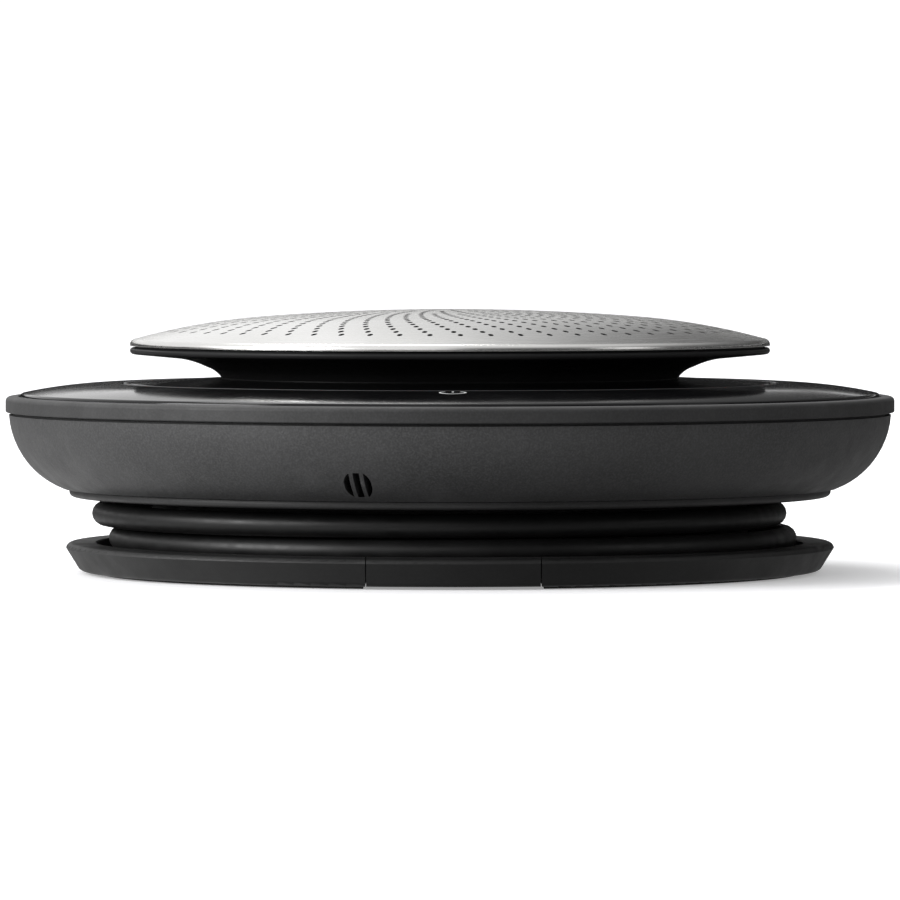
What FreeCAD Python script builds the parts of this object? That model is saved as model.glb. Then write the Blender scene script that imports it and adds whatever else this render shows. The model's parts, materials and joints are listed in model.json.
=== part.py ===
import FreeCAD, Part
import math
import os
from types import SimpleNamespace

import Sketcher

# Round conference speakerphone: a perforated steel dome on a flared neck, a gloss touch ring,
# a dark bowl, and a chamfered base with the USB lead wound in the groove above it.
# Millimetres. +Z is up, the Z axis is the axis of the body, z = 0 is the table, -Y is the front.

doc = FreeCAD.newDocument("speakerphone")
sheet = doc.addObject("Spreadsheet::Sheet", "Dims")


class Size:
    """A length with its value and the sheet expression that gives it."""

    def __init__(self, value, text):
        self.value = float(value)
        self.text = text

    def __add__(self, other):
        return combined(self, "+", other)

    def __radd__(self, other):
        return combined(other, "+", self)

    def __sub__(self, other):
        return combined(self, "-", other)

    def __rsub__(self, other):
        return combined(other, "-", self)

    def __mul__(self, other):
        return combined(self, "*", other)

    def __rmul__(self, other):
        return combined(other, "*", self)

    def __truediv__(self, other):
        return combined(self, "/", other)

    def __neg__(self):
        return Size(-self.value, "-(" + self.text + ")")


def as_size(number):
    """number as a Size; a plain number becomes its own expression."""
    if isinstance(number, Size):
        return number
    return Size(number, repr(float(number)))


def combined(first, sign, second):
    """The Size of first sign second."""
    a = as_size(first)
    b = as_size(second)
    results = {
        "+": a.value + b.value,
        "-": a.value - b.value,
        "*": a.value * b.value,
        "/": a.value / b.value if b.value else 0.0,
    }
    return Size(results[sign], "(" + a.text + " " + sign + " " + b.text + ")")


# Driving dimensions: alias, value in mm (or degrees where the note says so), meaning.
DIMENSIONS = [
    # steel dome
    ("dome_r", 47.9, "outer radius of the dome's rolled rim"),
    ("dome_top", 39.4, "top of the dome"),
    ("dome_sheet", 0.6, "thickness of the dome's sheet"),
    ("dome_mid_r", 28.7, "radius where the flat crown meets the shoulder"),
    ("dome_mid_drop", 1.15, "drop of the crown from its top"),
    ("dome_shoulder_arc", 100.0, "arc radius of the shoulder"),
    ("dome_edge_z", 34.0, "lower edge of the rolled rim"),
    ("dome_rim_tall", 1.05, "height of the rolled rim"),
    ("dome_edge_round", 0.9, "rounding of the rim"),
    ("cloth_r", 45.6, "radius of the acoustic cloth"),
    ("cloth_gap", 0.15, "gap between dome and cloth"),
    ("cloth_edge_rise", 0.35, "rise of the cloth's edge over the dome's rim line"),
    ("cloth_thick", 0.3, "thickness of the cloth"),
    # neck and flange
    ("neck_r", 34.2, "outer radius of the neck"),
    ("neck_wall", 2.0, "wall of the neck"),
    ("neck_foot_z", 24.4, "lower end of the neck"),
    ("flare_z", 29.2, "height where the flare starts"),
    ("flare_mid_r", 36.4, "radius of the flare's tight part"),
    ("flare_mid_z", 30.8, "height of the flare's tight part"),
    ("flare_out_r", 42.0, "radius where the flare ends"),
    ("flare_out_z", 32.25, "height where the flare ends"),
    ("flare_tight_arc", 4.2, "arc radius of the tight part"),
    ("flare_wide_arc", 14.0, "arc radius of the wide part"),
    ("flange_low_z", 32.75, "underside of the flange at its rim"),
    ("flange_top_z", 33.7, "top of the flange's rim"),
    ("flange_low_round", 0.5, "rounding of the flange's lower edge"),
    ("flange_round", 0.4, "rounding of the flange's upper edge"),
    ("lip_foot_z", 33.45, "foot of the lip on its inner side"),
    ("lip_top_z", 34.35, "top of the lip inside the dome"),
    ("lip_out_r", 46.95, "outer radius of the lip"),
    ("lip_in_r", 46.05, "inner radius of the lip"),
    ("bowl_floor_z", 32.9, "floor inside the flange"),
    ("seat_r", 33.2, "radius of the driver's seat"),
    ("seat_z", 31.6, "height of the driver's seat"),
    ("seat_in_r", 31.0, "inner radius of the seat's ledge"),
    ("ledge_root_z", 29.0, "height where the ledge's underside meets the neck"),
    ("ledge_low_z", 30.2, "underside of the ledge"),
    # driver
    ("basket_r", 33.0, "radius of the basket's flange"),
    ("basket_top_z", 32.5, "top of the basket's flange"),
    ("basket_drop_r", 30.6, "radius of the basket's upper wall"),
    ("basket_shell", 1.0, "wall of the basket"),
    ("basket_knee_z", 28.2, "height where the wall turns inward"),
    ("basket_low_r", 19.6, "radius of the basket's bottom"),
    ("basket_low_z", 19.4, "underside of the basket"),
    ("basket_ledge", 0.1, "depth of the ledge inside the basket's flange"),
    ("wall_low_r", 20.9, "inner radius of the basket's wall at the spider's seat"),
    ("basket_in_knee_z", 28.7, "height where the wall's inner side turns inward"),
    ("basket_hole_r", 10.5, "hole in the basket's bottom"),
    ("basket_open_r", 28.4, "inner radius of the flange"),
    ("spider_seat_z", 21.7, "height of the spider's seat"),
    ("spider_seat_r", 19.0, "inner radius of the spider's seat"),
    ("window_in_r", 22.5, "inner end of a basket window"),
    ("window_out_r", 28.0, "outer end of a basket window"),
    ("window_wide", 8.0, "width of a basket window"),
    ("yoke_r", 15.5, "radius of the yoke's plate"),
    ("yoke_low_z", 13.4, "underside of the yoke"),
    ("yoke_plate", 1.6, "thickness of the yoke's plate"),
    ("pole_r", 7.2, "radius of the pole"),
    ("pole_top_z", 19.6, "top of the pole"),
    ("magnet_r", 16.5, "outer radius of the magnet"),
    ("magnet_in_r", 9.5, "inner radius of the magnet"),
    ("magnet_tall", 2.7, "height of the magnet"),
    ("plate_r", 16.0, "outer radius of the top plate"),
    ("plate_in_r", 8.7, "inner radius of the top plate"),
    ("coil_in_r", 7.6, "inner radius of the voice coil"),
    ("coil_out_r", 8.3, "outer radius of the voice coil"),
    ("coil_low_z", 16.8, "lower end of the voice coil"),
    ("coil_top_z", 23.4, "upper end of the voice coil"),
    ("cone_low_z", 22.5, "lower edge of the cone"),
    ("cone_r", 25.8, "radius of the cone's edge"),
    ("cone_neck_z", 23.4, "height of the cone's inner side at the coil"),
    ("cone_low_edge_r", 24.2, "radius where the cone's underside levels out"),
    ("cone_top_edge_r", 24.0, "radius where the cone's upper side levels out"),
    ("cone_top_z", 32.45, "top of the cone's edge"),
    ("cone_sheet", 0.5, "thickness of the cone"),
    ("cap_r", 9.9, "radius of the dust cap"),
    ("cap_low_z", 24.6, "foot of the dust cap"),
    ("cap_rise", 3.1, "rise of the dust cap"),
    ("cap_sheet", 0.4, "thickness of the dust cap"),
    ("spider_r", 20.7, "outer radius of the spider"),
    ("spider_roll", 1.6, "width of one roll of the spider"),
    ("spider_arc", 1.0, "arc radius of one roll"),
    ("spider_sheet", 0.3, "thickness of the spider"),
    ("surround_r", 30.9, "outer radius of the surround"),
    ("surround_in_r", 24.6, "inner radius of the surround"),
    ("surround_sheet", 0.4, "thickness of the surround"),
    ("roll_in_r", 25.8, "inner radius of the surround's roll"),
    ("roll_r", 1.45, "radius of the surround's roll"),
    ("gasket_in_r", 29.6, "inner radius of the gasket"),
    ("gasket_thick", 0.6, "thickness of the gasket"),
    # touch ring and upper body
    ("panel_r", 64.3, "outer radius of the gloss touch panel"),
    ("panel_edge_z", 26.4, "height of the panel's outer edge below its rounding"),
    ("panel_round", 0.45, "rounding of the panel's outer edge"),
    ("panel_in_r", 49.1, "inner radius of the touch panel"),
    ("panel_arc", 68.0, "arc radius of the panel's top"),
    ("panel_in_z", 28.35, "top of the panel at its inner edge"),
    ("panel_thick", 1.5, "thickness of the panel"),
    ("light_in_r", 48.2, "inner radius of the light ring"),
    ("light_out_r", 48.95, "outer radius of the light ring"),
    ("light_top_z", 28.4, "top of the light ring"),
    ("light_low_z", 26.2, "underside of the light ring"),
    ("trim_r", 48.05, "outer radius of the inner trim"),
    ("trim_in_r", 34.75, "inner radius of the inner trim"),
    ("trim_out_z", 28.4, "top of the trim at its outer edge"),
    ("trim_in_z", 29.1, "top of the trim at the neck"),
    ("trim_thick", 1.4, "thickness of the trim"),
    ("board_in_r", 36.5, "inner radius of the touch board"),
    ("board_r", 58.0, "outer radius of the touch board"),
    ("board_thick", 0.8, "thickness of the touch board"),
    ("deck_in_r", 31.4, "inner radius of the deck"),
    ("deck_r", 63.5, "outer radius of the deck"),
    ("deck_low_z", 22.6, "underside of the deck"),
    ("deck_top_z", 24.3, "top of the deck"),
    ("deck_rim_in_r", 61.8, "inner radius of the deck's rim"),
    ("deck_rim_z", 24.85, "top of the deck's rim"),
    ("post_r", 2.4, "radius of the deck's posts"),
    ("post_low_z", 13.1, "lower end of the posts"),
    ("led_wide", 1.6, "width of a status light"),
    ("led_tall", 0.7, "height of a status light"),
    # band
    ("band_r", 66.5, "outer radius of the soft band"),
    ("band_in_r", 64.55, "inner radius of the band above the deck"),
    ("band_foot_in_r", 63.8, "inner radius of the band's foot"),
    ("band_step_z", 24.7, "height of the band's inner step"),
    ("band_low_z", 24.1, "lower edge of the band's face"),
    ("band_top_z", 26.4, "top of the band"),
    ("band_in_top_z", 26.5, "top of the band at its inner edge"),
    ("band_foot_top_z", 24.3, "height where the band's foot meets its step"),
    ("band_round", 0.7, "rounding of the band's top edge"),
    ("groove_r", 65.4, "floor of the dark groove under the band"),
    # bowl
    ("bowl_top_r", 66.0, "outer radius of the bowl at its top"),
    ("bowl_top_z", 23.7, "top of the bowl"),
    ("bowl_low_r", 57.9, "outer radius of the bowl at its bottom"),
    ("bowl_low_z", 12.7, "bottom of the bowl"),
    ("bowl_arc", 12.6, "arc radius of the bowl's side"),
    ("bowl_wall", 2.0, "wall of the bowl"),
    ("bowl_in_low_r", 57.2, "inner radius at the foot of the inside arc"),
    ("bowl_in_low_z", 14.57, "height of the foot of the inside arc"),
    ("bowl_mouth_r", 56.0, "radius of the opening in the bowl's bottom"),
    ("port_z", 15.2, "height of the microphone port"),
    ("port_r", 2.05, "radius of the circle that bounds the port's slots"),
    ("port_tall", 3.55, "height of the middle slot"),
    ("port_slot", 0.95, "width of a slot"),
    ("port_pitch", 1.52, "spacing of the slots"),
    ("port_turn", -12.2, "angle of the port from the front, degrees"),
    ("port_in_r", 54.0, "radius where the port's cut starts inside"),
    ("port_cut", 14.0, "length of the port's cut"),
    ("boot_r", 2.4, "radius of the microphone boot"),
    ("boot_slope", -53.0, "slope of the microphone behind the port, degrees"),
    ("boot_gap", 0.45, "gap between the microphone boot and the wall's arc"),
    ("boot_deep", 1.6, "thickness of the microphone boot"),
    ("capsule_r", 1.7, "radius of the microphone capsule"),
    ("capsule_deep", 1.1, "thickness of the microphone capsule"),
    # inside the bowl
    ("main_r", 49.0, "outer radius of the main board"),
    ("main_in_r", 21.0, "inner radius of the main board"),
    ("main_low_z", 15.2, "underside of the main board"),
    ("main_thick", 1.4, "thickness of the main board"),
    ("rest_r", 2.2, "radius of the rests under the main board"),
    ("rest_at", 42.0, "distance of the rests from the axis"),
    ("cell_long", 44.0, "length of the battery"),
    ("cell_wide", 19.0, "width of the battery"),
    ("cell_tall", 4.6, "height of the battery"),
    ("cell_y", 37.5, "distance of the battery's middle from the axis"),
    ("cell_z", 17.0, "underside of the battery"),
    ("cell_round", 1.6, "rounding of the battery's edges"),
    ("can_long", 24.0, "length of the shield can"),
    ("can_wide", 15.0, "width of the shield can"),
    ("can_tall", 2.2, "height of the shield can"),
    ("can_y", -35.0, "place of the shield can's middle"),
    # bottom cover and hub
    ("cover_r", 57.0, "radius of the bottom cover"),
    ("cover_low_z", 11.5, "underside of the bottom cover"),
    ("cover_edge_z", 12.6, "top of the cover's rim"),
    ("cover_round", 0.7, "rounding of the cover's lower edge"),
    ("cover_top_z", 13.0, "top of the cover's plate"),
    ("cover_lip_r", 55.8, "outer radius of the cover's lip"),
    ("cover_lip_in_r", 54.7, "inner radius of the cover's lip"),
    ("cover_lip_z", 13.9, "top of the cover's lip"),
    ("hub_r", 44.6, "outer radius of the hub that the lead winds on"),
    ("hub_in_r", 42.5, "inner radius of the hub"),
    ("ballast_r", 29.0, "radius of the ballast plate"),
    ("ballast_in_r", 3.0, "radius of the hole in the ballast plate"),
    ("ballast_low_z", 7.0, "underside of the ballast plate"),
    ("ballast_thick", 3.6, "thickness of the ballast plate"),
    # base
    ("base_low_z", 0.45, "underside of the base"),
    ("base_foot_r", 54.4, "radius of the base's underside"),
    ("base_foot_round", 1.15, "rounding of the lower edge"),
    ("base_slope_r", 55.75, "radius at the foot of the base's sloping side"),
    ("base_slope_z", 1.0, "height of the foot of the sloping side"),
    ("base_r", 57.5, "radius at the top of the sloping side"),
    ("base_wide_z", 3.8, "height of the top of the sloping side"),
    ("base_rim_round", 0.9, "rounding of the base's rim"),
    ("base_top_z", 4.6, "top of the base's rim"),
    ("base_ring_r", 56.7, "outer radius of the rim's top face"),
    ("base_ring_in_r", 52.9, "inner radius of the rim's top face"),
    ("trough_r", 52.5, "outer radius of the trough's floor"),
    ("trough_z", 1.2, "floor of the trough inside the rim"),
    ("core_r", 42.3, "radius of the base's core"),
    ("core_top_z", 6.4, "top of the base's core"),
    ("pad_in_r", 47.4, "inner radius of the rubber foot"),
    ("pad_out_r", 52.6, "outer radius of the rubber foot"),
    ("pad_sunk", 0.3, "depth that the rubber foot is let in"),
    # kickstand
    ("hinge_y", 7.0, "distance of the stand's hinge behind the axis"),
    ("hinge_z", 2.65, "height of the stand's hinge"),
    ("barrel_r", 1.9, "radius of the stand's hinge barrel"),
    ("stand_wide", 61.0, "width of the stand"),
    ("stand_r", 40.5, "radius of the stand's free edge"),
    ("stand_low_z", 0.75, "underside of the folded stand"),
    ("stand_thick", 3.2, "thickness of the stand"),
    ("well_gap", 0.5, "clearance round the folded stand"),
    ("well_top_z", 5.0, "roof of the well for the stand"),
    ("pin_r", 1.2, "radius of a hinge pin"),
    ("pin_long", 9.0, "length of a hinge pin"),
    ("pin_reach", 3.0, "length of a pin outside the stand"),
    ("pin_end_gap", 0.3, "gap past a pin's end in the base"),
    ("pin_play", 0.06, "radial clearance of a pin in the base"),
    ("grip_deep", 0.8, "thickness of the stand's rubber edge"),
    ("grip_inset", 0.3, "distance of the rubber edge from the stand's faces"),
    ("grip_angle", 46.0, "angle that the rubber edge covers, degrees"),
    ("hollow_wide", 44.0, "width of the stand's inner relief"),
    ("hollow_at", 5.0, "distance of the relief from the hinge"),
    ("hollow_long", 16.0, "length of the relief"),
    ("hollow_deep", 1.4, "depth of the stand's inner relief"),
    # plug and lead
    ("plug_left", 12.0, "reach of the plug's grip to the left of the axis"),
    ("plug_right", 13.0, "reach of the plug's grip to the right of the axis"),
    ("plug_gap", 0.15, "gap round the plug's grip"),
    ("plug_in_y", 42.8, "distance of the grip's inner face from the axis"),
    ("saddle_r", 47.6, "inner radius of the saddle for the lead over the grip"),
    ("saddle_z", 3.3, "top of the grip under the lead"),
    ("grip_block_r", 47.2, "outer radius of the grip's inner block at its top"),
    ("grip_in_r", 38.3, "radius where the grip's turned profile starts"),
    ("grip_top_z", 5.4, "top of the grip's inner block"),
    ("shell_wide", 12.0, "width of the plug's metal shell"),
    ("shell_tall", 4.5, "height of the plug's metal shell"),
    ("shell_long", 18.5, "length of the plug's metal shell"),
    ("shell_sheet", 0.3, "thickness of the shell's sheet"),
    ("latch_wide", 2.3, "side of a latch window in the shell"),
    ("latch_at", 5.1, "distance of the latch windows from the shell's end"),
    ("latch_off", 3.0, "distance of a latch window from the shell's middle"),
    ("shell_low_z", 1.0, "underside of the shell"),
    ("tongue_wide", 11.1, "width of the plug's tongue"),
    ("tongue_tall", 1.9, "height of the plug's tongue"),
    ("tongue_long", 17.5, "length of the plug's tongue"),
    ("pocket_play", 0.2, "gap round the shell in the base"),
    ("lead_r", 1.75, "radius of the USB lead"),
    ("sleeve_r", 2.0, "largest radius of a strain relief"),
    ("sleeve_tip_r", 1.85, "radius of a strain relief's tip"),
    ("sleeve_long", 8.0, "length of a strain relief"),
    ("sleeve_root", 1.5, "length of the plug's strain relief inside its root"),
    ("upper_z", 8.95, "height of the lead's upper turn"),
    ("upper_turn_r", 50.3, "radius of the upper turn"),
    ("upper_shift", -1.6, "offset of the upper turn along X"),
    ("lower_z", 5.3, "height of the lower turn"),
    ("lower_turn_r", 49.8, "radius of the lower turn"),
    ("lower_shift", 0.4, "offset of the lower turn along X"),
    ("tail_z", 3.1, "height of the run in the trough"),
    ("tail_turn_r", 46.6, "radius of the run in the trough"),
    ("first_drop", -202.0, "angle where the upper turn starts down, degrees"),
    ("second_drop", -550.0, "angle where the lower turn starts down, degrees"),
    ("drop_span", 55.0, "angle that a step down takes, degrees"),
    ("outlet_turn", 116.0, "angle of the lead's outlet on the hub, degrees"),
    ("outlet_off", 46.4, "distance of the outlet's line from the axis"),
    ("outlet_straight", 20.0, "length of the outlet's straight run from its foot"),
    ("gland_long", 6.5, "length of the outlet block"),
    ("gland_in", 42.8, "distance of the outlet block's back from the axis"),
    ("gland_out", 47.9, "distance of the outlet block's face from the axis"),
    ("gland_tall", 4.0, "height of the outlet block"),
    ("sleeve_way_long", 11.5, "length of the opening in the hub for the plug's strain relief"),
    ("sleeve_way_y", 39.1, "distance of that opening's inner end from the axis"),
    ("plug_lead_y", 45.0, "distance of the lead's entry into the plug behind the front"),
    # small features that recur
    ("cut_over", 1.0, "overrun of a cutter past a face"),
    ("cut_reach", 60.0, "reach of a cutter past the base's rim"),
    ("edge_break", 0.2, "chamfer that breaks a moulded edge"),
    ("soft_break", 0.3, "larger chamfer on a handled or turned edge"),
    ("hole_play", 0.1, "radial clearance of a screw in its hole"),
    ("bed_gap", 0.4, "gap round a part that lies in a bed"),
    # screws
    ("screw_r", 0.9, "radius of a case screw's shank"),
    ("screw_head_r", 1.9, "radius of a case screw's head"),
    ("screw_head", 1.1, "height of a case screw's head"),
    ("screw_long", 6.4, "length of a case screw's shank"),
    ("case_sunk", 0.1, "depth of a case screw's head under the cover"),
    ("base_sunk", 0.3, "depth of a base screw's head under the base"),
    ("case_at", 51.6, "distance of the case screws from the axis"),
    ("boss_hole_deep", 4.6, "depth of a base screw's hole in its boss"),
    ("base_screw_long", 7.6, "length of a base screw's shank"),
    ("small_screw_r", 0.6, "radius of a driver screw's shank"),
    ("small_head_r", 1.0, "radius of a driver screw's head"),
    ("small_head", 0.6, "height of a driver screw's head"),
    ("small_long", 2.1, "length of a driver screw's shank"),
    ("pilot_deep", 1.3, "depth of a driver screw's hole in the seat"),
    ("driver_at", 31.95, "distance of the driver screws from the axis"),
]

dim = SimpleNamespace()
for row, (alias, value, meaning) in enumerate(DIMENSIONS, start=1):
    sheet.set("A%d" % row, meaning)
    sheet.set("B%d" % row, str(value))
    sheet.setAlias("B%d" % row, alias)
    setattr(dim, alias, Size(value, "Dims." + alias))
doc.recompute()


# Building helpers


def bind(thing, prop, size):
    """Ties thing's prop to the sheet."""
    thing.setExpression(prop, as_size(size).text)


def new_body(label):
    """An empty PartDesign body named label."""
    body = doc.addObject("PartDesign::Body", label)
    body.Label = label
    return body


def new_sketch(body, role, lift=0.0, turn=0.0):
    """A sketch on body's origin plane, lifted along its normal and turned in its own plane."""
    sketch = body.newObject("Sketcher::SketchObject", body.Label + "_sketch")
    plane = [f for f in body.Origin.OriginFeatures if f.Role == role][0]
    sketch.AttachmentSupport = [(plane, "")]
    sketch.MapMode = "FlatFace"
    if turn:
        spin = FreeCAD.Rotation(FreeCAD.Vector(0, 0, 1), turn)
        sketch.AttachmentOffset = FreeCAD.Placement(FreeCAD.Vector(), spin)
    bind(sketch, "AttachmentOffset.Base.z", lift)
    return sketch


def tie(sketch, kind, geometry, corner, size):
    """Holds a point of the sketch at a distance from the origin along X or Y."""
    size = as_size(size)
    if abs(size.value) < 1e-9:
        axis = -2 if kind == "DistanceX" else -1
        sketch.addConstraint(Sketcher.Constraint("PointOnObject", geometry, corner, axis))
        return
    if size.value > 0:
        rule = Sketcher.Constraint(kind, -1, 1, geometry, corner, size.value)
    else:
        size = -size
        rule = Sketcher.Constraint(kind, geometry, corner, -1, 1, size.value)
    index = sketch.addConstraint(rule)
    sketch.setExpression("Constraints[%d]" % index, size.text)


def draw_arc(sketch, start, end, radius):
    """An arc from start to end: its centre is on the left for a positive radius."""
    chord = end - start
    middle = (start + end) * 0.5
    left = FreeCAD.Vector(-chord.y, chord.x, 0).normalize()
    reach = math.sqrt(max(radius * radius - chord.Length * chord.Length / 4.0, 0.0))
    centre = middle + left * (reach if radius > 0 else -reach)
    first, last = (start, end) if radius > 0 else (end, start)
    angles = [math.atan2(p.y - centre.y, p.x - centre.x) for p in (first, last)]
    circle = Part.Circle(centre, FreeCAD.Vector(0, 0, 1), abs(radius))
    arc = Part.ArcOfCircle(circle, angles[0], angles[1])
    geometry = sketch.addGeometry(arc, False)
    return (geometry, 1, 2) if radius > 0 else (geometry, 2, 1)


def draw_outline(sketch, outline):
    """Draws a closed outline of (x, y) corners; (x, y, radius) starts an arc to the next one.

    An arc that reaches the Y axis has its centre on that axis, so that it turns into a sphere.
    """
    corners = [[as_size(v) for v in corner] for corner in outline]
    points = [FreeCAD.Vector(c[0].value, c[1].value, 0) for c in corners]
    edges = []
    for i, corner in enumerate(corners):
        start = points[i]
        end = points[(i + 1) % len(points)]
        if len(corner) == 3:
            edges.append(draw_arc(sketch, start, end, corner[2].value))
        else:
            geometry = sketch.addGeometry(Part.LineSegment(start, end), False)
            edges.append((geometry, 1, 2))
    for i, corner in enumerate(corners):
        geometry, first, last = edges[i]
        following = edges[(i + 1) % len(edges)]
        joined = Sketcher.Constraint("Coincident", geometry, last, following[0], following[1])
        sketch.addConstraint(joined)
        tie(sketch, "DistanceX", geometry, first, corner[0])
        tie(sketch, "DistanceY", geometry, first, corner[1])
        touches_axis = 0 in (points[i].x, points[(i + 1) % len(points)].x)
        if len(corner) == 3 and touches_axis:
            sketch.addConstraint(Sketcher.Constraint("PointOnObject", geometry, 3, -2))
        elif len(corner) == 3:
            size = corner[2] if corner[2].value > 0 else -corner[2]
            index = sketch.addConstraint(Sketcher.Constraint("Radius", geometry, size.value))
            sketch.setExpression("Constraints[%d]" % index, size.text)


def draw_circle(sketch, x, y, radius):
    """Draws a circle about (x, y)."""
    x = as_size(x)
    y = as_size(y)
    radius = as_size(radius)
    centre = FreeCAD.Vector(x.value, y.value, 0)
    circle = Part.Circle(centre, FreeCAD.Vector(0, 0, 1), radius.value)
    geometry = sketch.addGeometry(circle, False)
    tie(sketch, "DistanceX", geometry, 3, x)
    tie(sketch, "DistanceY", geometry, 3, y)
    index = sketch.addConstraint(Sketcher.Constraint("Radius", geometry, radius.value))
    sketch.setExpression("Constraints[%d]" % index, radius.text)


def draw_box(sketch, x_low, x_high, y_low, y_high):
    """Draws a rectangle."""
    draw_outline(sketch, [(x_low, y_low), (x_high, y_low), (x_high, y_high), (x_low, y_high)])


def revolve(body, outline, degrees=360.0):
    """Turns an outline of (radius, height) corners about the Z axis."""
    sketch = new_sketch(body, "XZ_Plane")
    draw_outline(sketch, outline)
    turning = body.newObject("PartDesign::Revolution", body.Label + "_turning")
    turning.Profile = sketch
    turning.ReferenceAxis = (sketch, ["V_Axis"])
    bind(turning, "Angle", degrees)
    return body


def pad(body, sketch, tall):
    """Raises a sketch along its normal."""
    raised = body.newObject("PartDesign::Pad", body.Label + "_pad")
    raised.Profile = sketch
    bind(raised, "Length", tall)
    return body


def pocket(body, sketch, deep, along_normal):
    """Cuts a sketch into body, and fails if nothing is cut."""
    doc.recompute()
    before = body.Shape.Volume
    cut = body.newObject("PartDesign::Pocket", body.Label + "_cut")
    cut.Profile = sketch
    cut.Reversed = along_normal
    bind(cut, "Length", deep)
    doc.recompute()
    if not body.Shape.Volume < before - 1e-3:
        raise ValueError(body.Label + ": the cut removes nothing")
    return cut


def repeat_round(body, feature, count):
    """Repeats a feature about the Z axis."""
    axis = [f for f in body.Origin.OriginFeatures if f.Role == "Z_Axis"][0]
    pattern = body.newObject("PartDesign::PolarPattern", body.Label + "_pattern")
    pattern.Originals = [feature]
    pattern.Axis = (axis, [""])
    pattern.Angle = 360.0
    pattern.Occurrences = count
    body.Tip = pattern
    doc.recompute()


def round_edges(body, radius, chosen):
    """Rounds the edges of body that chosen picks."""
    doc.recompute()
    tip = body.Tip
    names = ["Edge%d" % (i + 1) for i, e in enumerate(tip.Shape.Edges) if chosen(e)]
    fillet = body.newObject("PartDesign::Fillet", body.Label + "_round")
    fillet.Base = (tip, names)
    bind(fillet, "Radius", radius)


def is_upright(edge):
    """True for a straight edge along Z."""
    if edge.Curve.TypeId != "Part::GeomLine":
        return False
    return abs(edge.tangentAt(edge.FirstParameter).z) > 0.99


def place(thing, x, y, z):
    """Puts thing's origin at a point given by sizes."""
    bind(thing, "Placement.Base.x", x)
    bind(thing, "Placement.Base.y", y)
    bind(thing, "Placement.Base.z", z)


def round_place(distance, degrees):
    """The x and y of a point at a distance from the axis, as sizes."""
    angle = math.radians(degrees)
    return distance * round(math.cos(angle), 6), distance * round(math.sin(angle), 6)


def cylinder(name, radius, tall):
    """A Part cylinder bound to the sheet."""
    made = doc.addObject("Part::Cylinder", name)
    bind(made, "Radius", radius)
    bind(made, "Height", tall)
    return made


def box(name, x_low, x_high, y_low, y_high, z_low, z_high):
    """A Part box between two corners."""
    made = doc.addObject("Part::Box", name)
    bind(made, "Length", as_size(x_high) - x_low)
    bind(made, "Width", as_size(y_high) - y_low)
    bind(made, "Height", as_size(z_high) - z_low)
    place(made, x_low, y_low, z_low)
    return made


def boolean(kind, label, base, tool):
    """A Part::Cut or Part::Common of two objects."""
    made = doc.addObject("Part::" + kind, label)
    made.Base = base
    made.Tool = tool
    made.Label = label
    return made


def joined(label, shapes):
    """A Part::MultiFuse of several objects."""
    made = doc.addObject("Part::MultiFuse", label)
    made.Shapes = shapes
    made.Label = label
    return made


# Proportions of a screw, as shares of its head's radius or height or of its shank's radius.
HEAD_FACE = 0.7
HEAD_CROWN = 0.45
TIP_LONG = 0.6
TIP_WIDE = 0.5
RECESS_LONG = 0.5
RECESS_WIDE = 0.13
RECESS_DEEP = 0.5


def screw(label, head_r, head_tall, shank_r, shank_long):
    """A pan-head screw: its driven face at z = 0, its shank towards +Z, with a cross recess."""
    body = new_body(label)
    outline = [
        (0, 0),
        (head_r * HEAD_FACE, 0),
        (head_r, head_tall * HEAD_CROWN),
        (head_r, head_tall),
        (shank_r, head_tall),
        (shank_r, head_tall + shank_long - shank_r * TIP_LONG),
        (shank_r * TIP_WIDE, head_tall + shank_long),
        (0, head_tall + shank_long),
    ]
    revolve(body, outline)
    long = head_r * RECESS_LONG
    wide = head_r * RECESS_WIDE
    for turn in (0.0, 90.0):
        sketch = new_sketch(body, "XY_Plane", 0.0, turn)
        draw_box(sketch, -long, long, -wide, wide)
        pocket(body, sketch, head_tall * RECESS_DEEP, True)
    return body


# Steel dome and cloth


def sphere_radius(half_chord, rise):
    """The radius of a cap with this half chord and rise."""
    return (half_chord * half_chord + rise * rise) / (rise * 2)


crown_arc = sphere_radius(dim.dome_mid_r, dim.dome_mid_drop)
crown_z = dim.dome_top - dim.dome_mid_drop
shoulder_r = dim.dome_r - dim.dome_edge_round
shoulder_z = dim.dome_edge_z + dim.dome_rim_tall

grille_dome = revolve(
    new_body("grille_dome"),
    [
        (0, dim.dome_top - dim.dome_sheet, -crown_arc),
        (dim.dome_mid_r, crown_z - dim.dome_sheet, -dim.dome_shoulder_arc),
        (shoulder_r, shoulder_z - dim.dome_sheet),
        (shoulder_r, dim.dome_edge_z),
        (dim.dome_r, dim.dome_edge_z),
        (dim.dome_r, shoulder_z - dim.dome_edge_round, dim.dome_edge_round),
        (shoulder_r, shoulder_z, dim.dome_shoulder_arc),
        (dim.dome_mid_r, crown_z, crown_arc),
        (0, dim.dome_top),
    ],
)

cloth_top = dim.dome_top - dim.dome_sheet - dim.cloth_gap
cloth_mid = crown_z - dim.dome_sheet - dim.cloth_gap
cloth_edge = shoulder_z - dim.dome_sheet - dim.cloth_gap + dim.cloth_edge_rise
grille_cloth = revolve(
    new_body("grille_cloth"),
    [
        (0, cloth_top - dim.cloth_thick, -crown_arc),
        (dim.dome_mid_r, cloth_mid - dim.cloth_thick, -dim.dome_shoulder_arc),
        (dim.cloth_r, cloth_edge - dim.cloth_thick),
        (dim.cloth_r, cloth_edge, dim.dome_shoulder_arc),
        (dim.dome_mid_r, cloth_mid, crown_arc),
        (0, cloth_top),
    ],
)

# Neck, flange and the shallow dish under the dome

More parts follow.
